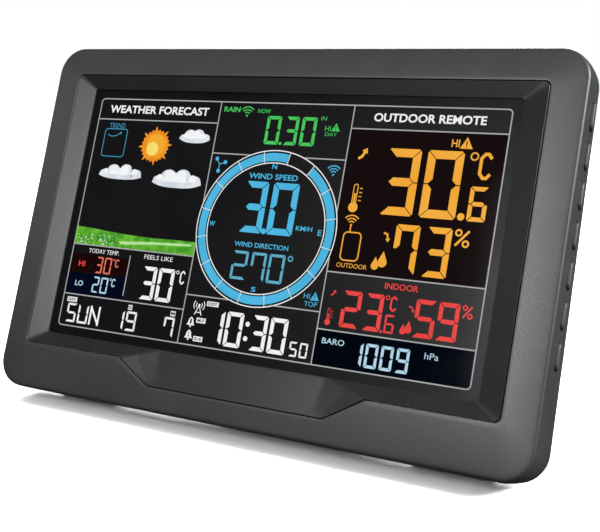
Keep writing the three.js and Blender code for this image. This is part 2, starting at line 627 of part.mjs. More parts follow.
leaned.add(
  named('front_frame', frontFrame(), CHARCOAL),
  named('inner_bezel', innerBezel(), BEZEL_BLACK),
  named('display_lens', displayLens(), LENS),
  named('lcd_panel', lcdPanel(), LCD_GLASS),
  named('light_guide', lightGuide(), FROSTED),
  named('backlight_strip', backlightStrip(), WHITE),
  named('lcd_tray', lcdTray(), WHITE),
  named('lcd_ribbon', lcdRibbon(), AMBER),
  named('main_board', mainBoard(), BOARD_GREEN),
  named('radio_module', radioModule(), BOARD_GREEN),
  named('sensor_board', sensorBoard(), BOARD_GREEN),
  named('buzzer', buzzer(), BLACK),
  named('ferrite_rod', ferriteRod(), BLACK),
  named('antenna_coil', antennaCoil(), COPPER),
  named('dc_jack', dcJack(), BLACK),
  named('button_board', buttonBoard(), BOARD_GREEN),
  named('rear_cover', rearCover(), CHARCOAL),
  named('battery_door', batteryDoor(), CHARCOAL),
  named('contact_plate_left', contactPlate(-1), STEEL),
  named('contact_plate_right', contactPlate(1), STEEL),
  named('kickstand_pin_left', hingePin(-1), STEEL),
  named('kickstand_pin_right', hingePin(1), STEEL),
  named('foot_left', foot(-1), RUBBER),
  named('foot_right', foot(1), RUBBER),
);

for (let i = 0; i < BUTTON_COUNT; i += 1) {
  leaned.add(named(`button_${i + 1}`, button(i), CHARCOAL));
}
for (let i = 0; i < 3; i += 1) {
  leaned.add(named(`battery_cell_${i + 1}`, cell(i), CELL_WRAP));
  leaned.add(named(`battery_spring_${i + 1}`, cellSpring(i), STEEL));
}
CASE_SCREWS.forEach((spot, i) => {
  const seat = screwSeatY(spot) + 0.1;
  leaned.add(named(`case_screw_${i + 1}`, screw(...spot, seat, seat - 4), STEEL));
});
TRAY_SCREWS.forEach(([x, z], i) => {
  leaned.add(named(`tray_screw_${i + 1}`, screw(x, z, TRAY.back + 0.1, TRAY_SCREW_LENGTH), STEEL));
});
BOARD_SCREWS.forEach(([x, z], i) => {
  const { head, length } = BOARD_SCREW;
  leaned.add(named(`board_screw_${i + 1}`, screw(x, z, BOARD.back + 0.1, length, head), STEEL));
});

const stand = new THREE.Group();
stand.position.set(0, HINGE.y, HINGE.z);
stand.rotation.x = LEAN + STAND_TILT;
stand.add(
  named('kickstand', kickstand(), CHARCOAL),
  named('kickstand_pad', kickstandPad(STAND_TILT), RUBBER),
);
leaned.add(stand);

// The origin is the middle of the footprint, on the desk.
const box = new THREE.Box3().setFromObject(station, true);
station.position.set(-(box.min.x + box.max.x) / 2, -(box.min.y + box.max.y) / 2, -box.min.z);
station.updateMatrixWorld(true);

export default station;
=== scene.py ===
import json
import math
import random
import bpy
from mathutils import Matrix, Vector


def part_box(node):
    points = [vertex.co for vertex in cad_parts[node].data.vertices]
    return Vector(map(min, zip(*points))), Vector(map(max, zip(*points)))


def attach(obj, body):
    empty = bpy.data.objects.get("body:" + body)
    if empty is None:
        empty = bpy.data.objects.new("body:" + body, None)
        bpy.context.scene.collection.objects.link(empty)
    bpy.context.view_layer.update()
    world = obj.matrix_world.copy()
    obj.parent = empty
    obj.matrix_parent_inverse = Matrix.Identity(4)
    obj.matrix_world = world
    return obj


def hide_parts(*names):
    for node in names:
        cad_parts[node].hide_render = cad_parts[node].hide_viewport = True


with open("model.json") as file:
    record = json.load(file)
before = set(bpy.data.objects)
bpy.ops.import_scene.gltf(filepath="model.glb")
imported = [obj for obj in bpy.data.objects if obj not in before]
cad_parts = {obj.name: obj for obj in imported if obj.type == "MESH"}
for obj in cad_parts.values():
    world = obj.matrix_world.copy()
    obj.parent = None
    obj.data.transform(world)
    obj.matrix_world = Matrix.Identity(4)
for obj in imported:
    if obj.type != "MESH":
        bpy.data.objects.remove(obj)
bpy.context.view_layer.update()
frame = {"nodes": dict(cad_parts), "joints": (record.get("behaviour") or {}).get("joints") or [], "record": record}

from types import SimpleNamespace as Sizes

import bpy
from mathutils import Matrix, Vector

# The fine pieces are modelled in millimetres in the frame of the display face: x to the right, y into
# the case, z up the face, with zero at the display's centre. PLACE puts them in the row frame.

MM = 0.001


def joint_named(name):
    return next(j for j in frame["joints"] if j["name"] == name)


LEAN = math.asin(-joint_named("battery_door_lift")["axis"][2])
LENS_MIDDLE_Y = -0.225
lens_low, lens_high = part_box("display_lens")
PLACE = (Matrix.Translation((lens_low + lens_high) / 2) @ Matrix.Rotation(-LEAN, 4, "X")
         @ Matrix.Scale(MM, 4) @ Matrix.Translation((0, -LENS_MIDDLE_Y, 0)))

# -------- driving dimensions, mm

CASE = Sizes(half_width=102.5, top=62.9, bottom=-68.3, radius=10)
FACE_EDGE_Y = -1.2
CROWN = 0.4
CROWN_Y = 5
PARTING_TOP_Y = 9.3
PARTING_BOTTOM_Y = 15.4
PARTING_GAP = 0.3
WALL = 2

LIP = Sizes(half_width=91.3, top=51.95, bottom=-51.7, radius=2.3)
LIP_Y = -2.5
WINDOW = Sizes(half_width=83.4, top=46.8, bottom=-46.8, radius=1)
WINDOW_Y = -0.5
SEAM = 0.3
SCOOP = Sizes(top_half=48, bottom_half=33.5, bottom=-60)
SCOOP_FLOOR = Sizes(top_half=32.5, bottom_half=30.5)
INNER_Y = 1.1

PRINT_Y = 0.16          # plane of the lit display segments, just in front of the panel
LAYER_STEP = 0.012      # between segments that lie over each other
KEY_TOP_Z = 43.2
KEY_PITCH = 12.13
KEY_COUNT = 7
KEY = Sizes(length=8.4, width=3.6, y=5.7, proud=0.85)

# -------- materials


def linear(hex_colour):
    """An 0xRRGGBB colour as linear red, green, blue, alpha."""
    channels = [(hex_colour >> shift & 255) / 255 for shift in (16, 8, 0)]
    return [c / 12.92 if c < 0.04045 else ((c + 0.055) / 1.055) ** 2.4 for c in channels] + [1]


class Surface:
    """A node material under construction."""

    def __init__(self, name, roughness=0.5, metallic=0.0, specular=0.5):
        self.material = bpy.data.materials.new(name)
        self.material.use_nodes = True
        self.nodes = self.material.node_tree.nodes
        self.links = self.material.node_tree.links
        self.shader = self.nodes["Principled BSDF"]
        self.shader.inputs["Roughness"].default_value = roughness
        self.shader.inputs["Metallic"].default_value = metallic
        self.shader.inputs["Specular IOR Level"].default_value = specular
        self.place = self.nodes.new("ShaderNodeTexCoord").outputs["Object"]

    def noise(self, size_mm, detail=3.0, stretch=(1, 1, 1)):
        """A noise value whose features are about size_mm across."""
        mapping = self.nodes.new("ShaderNodeMapping")
        mapping.inputs["Scale"].default_value = stretch
        self.links.new(self.place, mapping.inputs["Vector"])
        texture = self.nodes.new("ShaderNodeTexNoise")
        texture.inputs["Scale"].default_value = 1 / (size_mm * MM)
        texture.inputs["Detail"].default_value = detail
        self.links.new(mapping.outputs["Vector"], texture.inputs["Vector"])
        return texture.outputs["Fac"]

    def spread(self, value, low, high, start=0.3, stop=0.7):
        """Remaps a 0 to 1 value to low to high."""
        remap = self.nodes.new("ShaderNodeMapRange")
        for name, number in (("From Min", start), ("From Max", stop), ("To Min", low),
                             ("To Max", high)):
            remap.inputs[name].default_value = number
        self.links.new(value, remap.inputs["Value"])
        return remap.outputs["Result"]

    def blend(self, value, *stops):
        """Colours along a ramp driven by value; each stop is (position, 0xRRGGBB)."""
        ramp = self.nodes.new("ShaderNodeValToRGB")
        elements = ramp.color_ramp.elements
        while len(elements) < len(stops):
            elements.new(0.5)
        for element, (position, colour) in zip(elements, stops):
            element.position = position
            element.color = linear(colour)
        self.links.new(value, ramp.inputs["Fac"])
        return ramp.outputs["Color"]

    def colour(self, output):
        self.links.new(output, self.shader.inputs["Base Color"])

    def rough(self, output):
        self.links.new(output, self.shader.inputs["Roughness"])

    def bump(self, value, depth_mm, strength=0.5):
        bump = self.nodes.new("ShaderNodeBump")
        bump.inputs["Strength"].default_value = strength
        bump.inputs["Distance"].default_value = depth_mm * MM
        self.links.new(value, bump.inputs["Height"])
        self.links.new(bump.outputs["Normal"], self.shader.inputs["Normal"])


def moulded_plastic(name, dark, light, roughness=0.5, grain_mm=0.35, depth_mm=0.02, specular=0.4):
    """Spark-eroded plastic: a faint mottle in colour and gloss over a pebbled grain."""
    surface = Surface(name, roughness, specular=specular)
    grain = surface.noise(grain_mm, 4)
    surface.colour(surface.blend(surface.noise(18, 2), (0.3, dark), (0.7, light)))
    surface.rough(surface.spread(grain, roughness - 0.06, roughness + 0.06))
    surface.bump(grain, depth_mm)
    return surface.material


def rubber(name):
    surface = Surface(name, 0.85, specular=0.2)
    surface.colour(surface.blend(surface.noise(2, 5), (0.35, 0x101010), (0.7, 0x1c1c1c)))
    surface.bump(surface.noise(0.5, 4), 0.06)
    return surface.material


def bright_metal(name, dark, light, roughness=0.3):
    surface = Surface(name, roughness, metallic=1.0)
    brushed = surface.noise(0.15, 3, (1, 12, 12))
    surface.colour(surface.blend(surface.noise(1.5, 4), (0.35, dark), (0.7, light)))
    surface.rough(surface.spread(brushed, roughness - 0.1, roughness + 0.15))
    surface.bump(brushed, 0.01, 0.3)
    return surface.material


def circuit_board(name):
    """Solder mask over copper tracks."""
    surface = Surface(name, 0.35)
    tracks = surface.nodes.new("ShaderNodeTexVoronoi")
    tracks.feature = "DISTANCE_TO_EDGE"
    tracks.distance = "EUCLIDEAN"
    tracks.inputs["Scale"].default_value = 1 / (3.5 * MM)
    surface.links.new(surface.place, tracks.inputs["Vector"])
    edge = tracks.outputs["Distance"]
    surface.colour(surface.blend(edge, (0.02, 0x3f8a52), (0.07, 0x1a5230), (0.6, 0x164a2b)))
    surface.rough(surface.spread(surface.noise(1.2), 0.25, 0.45))
    surface.bump(edge, 0.04, 0.4)
    return surface.material


def copper_with_painted_groove_shade(name):
    surface = Surface(name, 0.3, metallic=1.0)
    turns_and_groove_shade = surface.nodes.new("ShaderNodeTexWave")
    turns_and_groove_shade.bands_direction = "X"
    turns_and_groove_shade.inputs["Scale"].default_value = 1 / (0.9 * MM)
    surface.links.new(surface.place, turns_and_groove_shade.inputs["Vector"])
    # Painted shade: the colour follows the wave of the bump, dark brown in the grooves between turns and bright
    # copper on their crowns.
    surface.colour(surface.blend(turns_and_groove_shade.outputs["Fac"], (0.1, 0x5a2a12), (0.6, 0xc07844)))
    surface.bump(turns_and_groove_shade.outputs["Fac"], 0.1, 0.8)
    return surface.material


def cell_sleeve(name):
    """A shiny printed sleeve with a darker band near one end."""
    surface = Surface(name, 0.28)
    split = surface.nodes.new("ShaderNodeSeparateXYZ")
    surface.links.new(surface.place, split.inputs["Vector"])
    along = surface.spread(split.outputs["X"], 0, 1, -0.03, 0.03)
    surface.colour(surface.blend(along, (0.0, 0x1d4f6c), (0.7, 0x2b7198), (0.74, 0xc9a24a),
                                 (0.8, 0x23262a)))
    surface.rough(surface.spread(surface.noise(3), 0.2, 0.34))
    return surface.material


def black_glass(name):
    """The unlit display: a near-black panel with a faint cell structure and a soft sheen."""
    surface = Surface(name, 0.35, specular=0.08)
    surface.colour(surface.blend(surface.noise(0.4, 2), (0.3, 0x070709), (0.7, 0x0b0b0d)))
    surface.rough(surface.spread(surface.noise(30, 2), 0.3, 0.42))
    return surface.material


def clear_window(name):
    surface = Surface(name, 0.08, specular=0.1)
    surface.shader.inputs["Alpha"].default_value = 0.03
    surface.colour(surface.blend(surface.noise(25, 2), (0.3, 0x06080a), (0.7, 0x0c0e10)))
    surface.rough(surface.spread(surface.noise(8, 3), 0.05, 0.12))
    surface.material.surface_render_method = "BLENDED"
    return surface.material


PLAIN_MOTTLE_MM = 14


def lit(name, dark, light, size_mm=PLAIN_MOTTLE_MM):
    """A lit display segment: its light varies a little, as the backlight behind it does."""
    surface = Surface(name, 0.6, specular=0.0)
    colour = surface.blend(surface.noise(size_mm, 2), (0.3, dark), (0.7, light))
    surface.shader.inputs["Base Color"].default_value = (0, 0, 0, 1)
    surface.links.new(colour, surface.shader.inputs["Emission Color"])
    surface.shader.inputs["Emission Strength"].default_value = 1.0
    return surface.material


CASE_PLASTIC = moulded_plastic("case_plastic", 0x292a2b, 0x2e2f30, 0.42)
REAR_PLASTIC = moulded_plastic("rear_plastic", 0x28292b, 0x2e2f31, 0.5, 0.6, 0.05)
BEZEL_PLASTIC = moulded_plastic("bezel_plastic", 0x141516, 0x191a1b, 0.36)
KEY_PLASTIC = moulded_plastic("key_plastic", 0x303133, 0x353638, 0.45, 0.3)
WHITE_PLASTIC = moulded_plastic("white_plastic", 0xd8d9d6, 0xe4e5e2, 0.5)
DIFFUSER = moulded_plastic("diffuser", 0xdfe6e6, 0xecf0f0, 0.4, 0.2)
BLACK_PLASTIC = moulded_plastic("black_plastic", 0x0e0e0f, 0x151516, 0.4)
FERRITE = moulded_plastic("ferrite", 0x19191b, 0x232326, 0.75, 0.2, 0.05)
RIBBON = moulded_plastic("ribbon_film", 0x7a4c16, 0x93601f, 0.3, 1.0, 0.01)
RUBBER = rubber("rubber_pad")
STEEL = bright_metal("steel", 0xa9abb0, 0xc4c6ca)
BOARD = circuit_board("circuit_board")
COPPER = copper_with_painted_groove_shade("copper_wire")
SLEEVE = cell_sleeve("cell_wrap")
GLASS = black_glass("lcd_glass")
LENS = clear_window("display_window")

SLOT_LOOKS = {
    "case_plastic": REAR_PLASTIC, "key_plastic": KEY_PLASTIC, "door_plastic": REAR_PLASTIC,
    "stand_plastic": REAR_PLASTIC, "bezel_plastic": BEZEL_PLASTIC, "display_window": LENS,
    "lcd_glass": GLASS, "diffuser": DIFFUSER, "white_plastic": WHITE_PLASTIC,
    "ribbon_film": RIBBON, "circuit_board": BOARD, "rubber_pad": RUBBER, "steel": STEEL,
    "cell_wrap": SLEEVE, "copper_wire": COPPER, "ferrite": FERRITE, "black_plastic": BLACK_PLASTIC,
}


def dress_frame():
    """Gives every CAD node the look of its material slot."""
    for part in frame["record"]["subparts"]:
        mesh = frame["nodes"][part["node"]].data
        mesh.materials.clear()
        mesh.materials.append(SLOT_LOOKS[part["material_slot"]])


# -------- mesh helpers

SHARP_DEG = 32


def linked(name, data):
    """A new object in the scene."""
    made = bpy.data.objects.new(name, data)
    bpy.context.scene.collection.objects.link(made)
    return made


def outward(points, faces):
    """The faces of a closed form, turned over if they look inwards."""
    volume = 0.0
    for face in faces:
        start = Vector(points[face[0]])
        for b, c in zip(face[1:], face[2:]):
            volume += start.dot(Vector(points[b]).cross(Vector(points[c])))
    return faces if volume >= 0 else [tuple(face[::-1]) for face in faces]


def solid_mesh(name, points, faces):
    """A mesh from face-frame millimetres, put in place."""
    mesh = bpy.data.meshes.new(name)
    mesh.from_pydata([tuple(p) for p in points], [], outward(points, faces))
    mesh.transform(PLACE)
    return mesh


def piece(name, points, faces, material, body, slot=None, nodes=(), smooth_deg=SHARP_DEG):
    """A mesh piece from face-frame millimetres, riding on a body and standing for CAD nodes."""
    mesh = solid_mesh(name, points, faces)
    mesh.shade_smooth()
    mesh.set_sharp_from_angle(angle=math.radians(smooth_deg))
    mesh.materials.append(material)
    made = linked(name, mesh)
    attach(made, body)
    if nodes:
        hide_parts(*nodes)
    return made


def loft(rings, closed=True):
    """Quads between rings of equal length; closed joins the last ring to the first."""
    count = len(rings[0])
    points = [p for ring in rings for p in ring]
    faces = []
    for r in range(len(rings) if closed else len(rings) - 1):
        here, there = r * count, (r + 1) % len(rings) * count
        faces += [(here + i, here + (i + 1) % count, there + (i + 1) % count, there + i)
                  for i in range(count)]
    return points, faces


def capped(rings):
    """A loft whose first and last rings are filled."""
    points, faces = loft(rings, closed=False)
    count = len(rings[0])
    last = len(points) - count
    faces += [tuple(range(count))[::-1], tuple(range(last, last + count))]
    return points, faces


def mix(a, b, share):
    return a + (b - a) * share


def softer_max(a, b, blend):
    """The larger of two numbers, rounded off where they are within about blend of each other."""
    return (a + b + math.sqrt((a - b) ** 2 + blend ** 2)) / 2


def steps(count):
    return [i / count for i in range(count)]


def on_circle(u, v, radius, angle):
    return (u + radius * math.cos(angle), v + radius * math.sin(angle))


def circle(radius, u, v, count=32):
    return [on_circle(u, v, radius, 2 * math.pi * i / count) for i in range(count)]


def arc_points(u, v, radius, start, stop, count):
    """Points on a circle from start to stop, in degrees turning left from east."""
    return [on_circle(u, v, radius, math.radians(mix(start, stop, i / count)))
            for i in range(count + 1)]


# -------- outlines of the case

CORNER_STEPS = 12
LIP_BOTTOM_U = LIP.half_width - LIP.radius


def bottom_shares():
    """Where the bottom edge is sampled, close together round the scoop's ends."""
    coarse = [-LIP_BOTTOM_U, -80, -70, -60, -54]
    flank = [-50 + i for i in range(19)]
    floor = [-31 + i * 3.1 for i in range(21)]
    left = coarse + flank
    positions = left + floor + [-u for u in reversed(left)][:-1]
    return [(u + LIP_BOTTOM_U) / (2 * LIP_BOTTOM_U) for u in positions]


PERIMETER = []
for quarter, side in enumerate((steps(36), steps(24), bottom_shares(), steps(24))):
    PERIMETER += [("corner", quarter, share) for share in steps(CORNER_STEPS)]
    PERIMETER += [("side", quarter, share) for share in side]


def outline(shape, offset=0.0):
    """The points of a rounded rectangle grown by offset, one for each entry of PERIMETER."""
    reach_u = shape.half_width - shape.radius
    radius = shape.radius + offset
    top, bottom = shape.top - shape.radius, shape.bottom + shape.radius
    centres = [(reach_u, top), (-reach_u, top), (-reach_u, bottom), (reach_u, bottom)]

    def at(quarter, share):
        return on_circle(*centres[quarter % 4], radius, (quarter + share) * math.pi / 2)

    points = []
    for kind, quarter, share in PERIMETER:
        if kind == "corner":
            points.append(Vector(at(quarter, share)))
        else:
            start, stop = Vector(at(quarter, 1)), Vector(at((quarter + 1) % 4, 0))
            points.append(start.lerp(stop, share))
    return points


def parting_y(z):
    return mix(PARTING_TOP_Y, PARTING_BOTTOM_Y, (CASE.top - z) / (CASE.top - CASE.bottom))


def lifted(points, height):
    """Gives x-z points their y, from a number or a function of the point."""
    return [(p[0], height(p) if callable(height) else height, p[1]) for p in points]


# -------- front frame

FILLET_INSET = 1.1
FACE_SLOPE = (FACE_EDGE_Y - LIP_Y) / (CASE.half_width - LIP.half_width)
FACE_ANGLE = math.atan(FACE_SLOPE)
FACE_BULGE = 0.12
LIP_ROUND = 0.28


def scoop_share(u):
    """0 where the lip runs straight, 1 where it has dropped to the scoop's lower edge."""
    share = (SCOOP.top_half - abs(u)) / (SCOOP.top_half - SCOOP.bottom_half)
    return min(max(share, 0), 1)


LIP_POINTS = outline(LIP)
FILLET_POINTS = outline(CASE, -FILLET_INSET)


def seam_points():
    """The seam between frame and bezel: the lip outline with the scoop's notch in its lower edge."""
    points = []
    for (kind, quarter, _), lip, edge in zip(PERIMETER, LIP_POINTS, FILLET_POINTS):
        if kind == "side" and quarter == 2:
            drop = scoop_share(lip.x) * (LIP.bottom - SCOOP.bottom)
            points.append(lip.lerp(edge, drop / (lip.y - edge.y)))
        else:
            points.append(lip.copy())
    return points


SEAM_POINTS = seam_points()


def along(start, stop, distance):
    return start + (stop - start).normalized() * distance


def face_y(lip, edge, point):
    """Depth of the frame's face, which falls away a little from the lip to the outer edge."""
    share = (point - lip).length / (edge - lip).length
    fall = FACE_SLOPE * (CASE.half_width - FILLET_INSET - LIP.half_width)
    return LIP_Y + fall * share - FACE_BULGE * 4 * share * (1 - share)


def face_ring(points, extra=0.0):
    return [(p.x, face_y(lip, edge, p) + extra, p.y)
            for lip, edge, p in zip(LIP_POINTS, FILLET_POINTS, points)]


def front_rings():
    rings = [lifted(SEAM_POINTS, INNER_Y)]
    for turn in (0, 30, 60, 90):
        angle = math.radians(turn)
        inset = LIP_ROUND * (1 - math.cos(angle))
        points = [along(seam, edge, inset) for seam, edge in zip(SEAM_POINTS, FILLET_POINTS)]
        rings.append(face_ring(points, LIP_ROUND * (1 - math.sin(angle))))
    face_steps = 10
    for i in range(1, face_steps + 1):
        points = [along(s, e, LIP_ROUND).lerp(e, i / face_steps)
                  for s, e in zip(SEAM_POINTS, FILLET_POINTS)]
        rings.append(face_ring(points))
    radius = FILLET_INSET / (1 - math.sin(FACE_ANGLE))
    centre_y = rings[-1][0][1] + radius * math.cos(FACE_ANGLE)
    for i in range(1, 7):
        angle = mix(FACE_ANGLE, math.pi / 2, i / 6)
        rings.append(lifted(outline(CASE, radius * (math.sin(angle) - 1)),
                            centre_y - radius * math.cos(angle)))
    for y in (1.2, 2.6, CROWN_Y):
        rise = 1 - ((y - CROWN_Y) / (CROWN_Y - centre_y)) ** 2
        rings.append(lifted(outline(CASE, CROWN * rise), y))
    for share in (0.35, 0.7, 0.96):
        rings.append(lifted(outline(CASE, CROWN * (1 - 0.5 * share ** 2)),
                            lambda p: mix(CROWN_Y, parting_y(p[1]), share)))
    rings.append(lifted(outline(CASE, CROWN / 2 - 0.2), lambda p: parting_y(p[1])))
    rings.append(lifted(outline(CASE, -WALL), lambda p: parting_y(p[1])))
    rings.append(lifted(outline(CASE, -WALL), INNER_Y))
    return rings


def pill(length, width, x, z, y, count=10):
    """A slot outline, long along z, in a plane of constant x."""
    half = width / 2
    reach = length / 2 - half
    points = []
    for end in (1, -1):
        for i in range(count + 1):
            angle = math.pi * i / count
            points.append((x, y + half * math.cos(angle) * end,
                           z + end * (reach + half * math.sin(angle))))
    return points


def key_z(i):
    return KEY_TOP_Z - i * KEY_PITCH


def blank(form):
    """An unseen helper object made of a closed form, in face-frame millimetres."""
    return linked("helper", solid_mesh("helper", *form))


def combine(target, helper, operation):
    """Joins a helper to a piece, cuts it away or keeps what they share, and drops the helper."""
    modifier = target.modifiers.new("combine", "BOOLEAN")
    modifier.operation = operation
    modifier.solver = "MANIFOLD"
    modifier.object = helper
    graph = bpy.context.evaluated_depsgraph_get()
    result = bpy.data.meshes.new_from_object(target.evaluated_get(graph))
    target.modifiers.clear()
    target.data = result
    result.shade_smooth()
    result.set_sharp_from_angle(angle=math.radians(SHARP_DEG))
    bpy.data.objects.remove(helper)
    return target


def carve(target, forms):
    """Cuts closed forms out of a piece, one after another."""
    for form in forms:
        combine(target, blank(form), "DIFFERENCE")
    return target


def make_front_frame():
    points, faces = loft(front_rings())
    shell = piece("front_shell", points, faces, CASE_PLASTIC, "case", "case_plastic",
                  ["front_frame"])
    grow, inside, beyond = 0.7, CASE.half_width - 4, CASE.half_width + 3
    wells = [capped([pill(KEY.length + grow, KEY.width + grow, x, key_z(i), KEY.y)
                     for x in (inside, beyond)]) for i in range(KEY_COUNT)]
    return carve(shell, wells)


# -------- inner bezel

WINDOW_POINTS = outline(WINDOW)
BEZEL_BLEND = 0.12
RIM_ROUND = 0.12
SCOOP_RIM = LIP_Y + (FACE_EDGE_Y - LIP_Y) / 2     # depth of the scoop's lower edge
NO_SURFACE_Y = LIP_Y - 4                          # in front of everything, so it never wins
FLANK_STEEP = 0.62     # share of the flank's height taken by its steep outer half


def scoop_y(u, v):
    """Depth of the scoop below the display: a floor that rises outwards between two flanks."""
    share = (WINDOW.bottom - v) / (WINDOW.bottom - SCOOP.bottom)
    notch = min(max((LIP.bottom - v) / (LIP.bottom - SCOOP.bottom), 0), 1)
    rim = mix(LIP_Y, SCOOP_RIM, notch)
    floor = mix(WINDOW_Y, SCOOP_RIM, share)
    inner = mix(SCOOP_FLOOR.top_half, SCOOP_FLOOR.bottom_half, share)
    outer = mix(SCOOP.top_half, SCOOP.bottom_half, notch)
    flank = min(max((abs(u) - inner) / max(outer - inner, 0.1), 0), 1)
    if abs(u) > outer + 0.5:
        return NO_SURFACE_Y
    if flank < 0.5:
        return mix(floor, rim, mix(0, 1 - FLANK_STEEP, flank * 2))
    return mix(floor, rim, mix(1 - FLANK_STEEP, 1, flank * 2 - 1))


def bezel_y(lip, window, point):
    """The deeper of the even slope round the display and the scoop."""
    slope = NO_SURFACE_Y
    if (point - window).length <= (lip - window).length + 1e-6:
        slope = mix(WINDOW_Y, LIP_Y, (point - window).length / (lip - window).length)
    if point.y > 0 or abs(point.x) > SCOOP.top_half + 2:
        return slope
    return softer_max(slope, scoop_y(point.x, point.y), BEZEL_BLEND)


def make_bezel():
    surface = []
    surface_steps = 26
    for i in range(surface_steps + 1):
        ring = []
        for lip, window, seam, edge in zip(LIP_POINTS, WINDOW_POINTS, SEAM_POINTS, FILLET_POINTS):
            rim = along(seam, window, SEAM + RIM_ROUND)
            point = window.lerp(rim, i / surface_steps)
            ring.append((point.x, bezel_y(lip, window, point), point.y))
        surface.append(ring)
    rims = [along(seam, window, SEAM) for seam, window in zip(SEAM_POINTS, WINDOW_POINTS)]
    outer = [(p.x, last[1] + RIM_ROUND, p.y) for p, last in zip(rims, surface[-1])]
    rings = [lifted(WINDOW_POINTS, INNER_Y), *surface, outer, lifted(rims, INNER_Y)]
    points, faces = loft(rings)
    return piece("display_bezel", points, faces, BEZEL_PLASTIC, "case", "bezel_plastic",
                 ["inner_bezel"], smooth_deg=28)


def make_window():
    clearance, edge, thickness = 0.3, 0.12, 0.45
    rings = [lifted(outline(WINDOW, -clearance - inset), y)
             for inset, y in ((0, 0.0), (0, edge - thickness), (edge, -thickness))]
    points, faces = capped(rings)
    return piece("window_pane", points, faces, LENS, "case", "display_window", ["display_lens"])


# -------- keys


def make_key(i):
    """A pill-shaped key whose top is domed and leans back a little."""
    wall, lean = CASE.half_width + CROWN, 0.09
    profile = [(-2.6, 0), (KEY.proud - 0.55, 0), (KEY.proud - 0.28, 0.1),
               (KEY.proud - 0.1, 0.32), (KEY.proud, 0.8), (KEY.proud + 0.05, 1.5)]
    rings = []
    for rise, inset in profile:
        ring = pill(KEY.length - 2 * inset, KEY.width - 2 * inset, wall + rise, key_z(i), KEY.y)
        rings.append([(x - lean * (y - KEY.y) * (rise > 0), y, z) for x, y, z in ring])
    points, faces = capped(rings)
    return piece(f"side_key_{i + 1}", points, faces, KEY_PLASTIC, f"button_{i + 1}", "key_plastic",
                 [f"button_{i + 1}"], smooth_deg=50)


# -------- closed helper forms


def rounded(u0, u1, v0, v1, radii, count=6):
    """A rectangle with its own radius at the top right, top left, bottom left and bottom right."""
    points = []
    corners = ((u1, v1, -1, -1), (u0, v1, 1, -1), (u0, v0, 1, 1), (u1, v0, -1, 1))
    for quarter, ((u, v, in_u, in_v), radius) in enumerate(zip(corners, radii)):
        for i in range(count + 1):
            angle = (quarter + i / count) * math.pi / 2
            points.append(on_circle(u + in_u * radius, v + in_v * radius, radius, angle))
    return points


def even(u0, u1, v0, v1, radius):
    return rounded(u0, u1, v0, v1, (radius,) * 4)


def prism(points, y0, y1):
    return capped([lifted(points, y0), lifted(points, y1)])


def turned(profile, u, v, count=32):
    """A solid of revolution about an axis along y; the profile is (radius, y) pairs."""
    return capped([lifted(circle(radius, u, v, count), y) for radius, y in profile])


def turned_x(profile, y, z, count=40):
    """A solid of revolution about an axis along x; the profile is (radius, x) pairs."""
    return capped([[(x, b, c) for b, c in circle(radius, y, z, count)] for radius, x in profile])


def eased(edge):
    """Inset and rise of the rings round a softened edge."""
    return (edge, 0), (edge * 0.3, edge * 0.3), (0, edge)


def between(start, stop, share):
    return [tuple(Vector(a).lerp(Vector(b), share)) for a, b in zip(start, stop)]


def bent(start, corner, stop, count=4):
    """Rings along a soft bend from start to stop that is drawn towards corner."""
    return [between(between(start, corner, i / count), between(corner, stop, i / count), i / count)
            for i in range(count + 1)]


# -------- rear cover

PLATEAU = Sizes(half_width=84, top=46, bottom=-60, radius=12)
BACK_Y = 24
BACK_WALL = 2
REAR_RIM = 2
RIM_TAPER = 0.4
PLATEAU_FILLET = 3
RIM_EDGE = 0.25
CHAMFER = 0.4
HAIR = 0.01              # keeps two faces or two round ends from meeting exactly
OUTSIDE_Y = 32           # clear of the back
THROUGH = 4              # deeper than the wall of the back
RECESS = Sizes(half_width=36, top=-5.4, bottom=-90, floor=19.3, wall=1.5, radius=1.5)
BAY = Sizes(half_width=26.5, bottom=4, top=38.6, floor=11.3, wall=1.4, radius=1)
DOOR = Sizes(half_width=30, bottom=1, top=41.6, thickness=1.6, radius=1.2, edge=0.35)
GRIP = Sizes(count=4, inset=4, pitch=1.6, half_width=7, half_height=0.4, depth=0.5)
DOOR_GAP = 0.3
DOOR_LEDGE = 1.2
BLOCK_RADIUS = 0.5
RECESS_SIDE = 2          # wall beside and above the stand's recess
KEYHOLE = Sizes(u=58, v=24, head=4, neck=2, rise=8)
VENTS = Sizes(u=-62, v=-40, count=6, pitch=3.6, width=1.6, length=16)
JACK = Sizes(u=62, v=-38, hole=5.4)
CASE_SCREWS = [(-95.8, 55.8), (95.8, 55.8), (-95.8, -61.8), (95.8, -61.8), (-46, -63.4),
               (46, -63.4)]
POST_CLEARANCE = 0.5     # from the parting line
SCREW = Sizes(shaft=0.95, head=2.2, height=1.6, well=2.7, depth=3, collar=3.8)


def rim_ring(offset, back):
    return lifted(outline(CASE, offset), lambda p: parting_y(p[1]) + back)


def rear_skin():
    """Rings from the parting line over the rim and up the slope to the flat back."""
    edge = CROWN / 2
    foot = rim_ring(-RIM_TAPER, REAR_RIM)
    crest = lifted(outline(PLATEAU), BACK_Y)
    inset = lifted(outline(PLATEAU, -PLATEAU_FILLET), BACK_Y)
    return [rim_ring(edge - RIM_EDGE, PARTING_GAP), rim_ring(edge, PARTING_GAP + RIM_EDGE),
            *bent(rim_ring(edge - RIM_TAPER, REAR_RIM * 0.6), foot, between(foot, crest, 0.06)),
            *(between(foot, crest, share) for share in (0.3, 0.55, 0.75)),
            *bent(between(foot, crest, 0.88), crest, inset)]


def slope_y(u, v):
    """Depth of the back's slope over a point, taking the nearer edge."""
    half = CASE.half_width - RIM_TAPER
    across = (half - abs(u)) / (half - PLATEAU.half_width)
    top, bottom = CASE.top - RIM_TAPER, CASE.bottom + RIM_TAPER
    upright = (top - v) / (top - PLATEAU.top) if v > 0 else (
        (v - bottom) / (PLATEAU.bottom - bottom))
    return mix(parting_y(v) + REAR_RIM, BACK_Y, min(across, upright, 1))


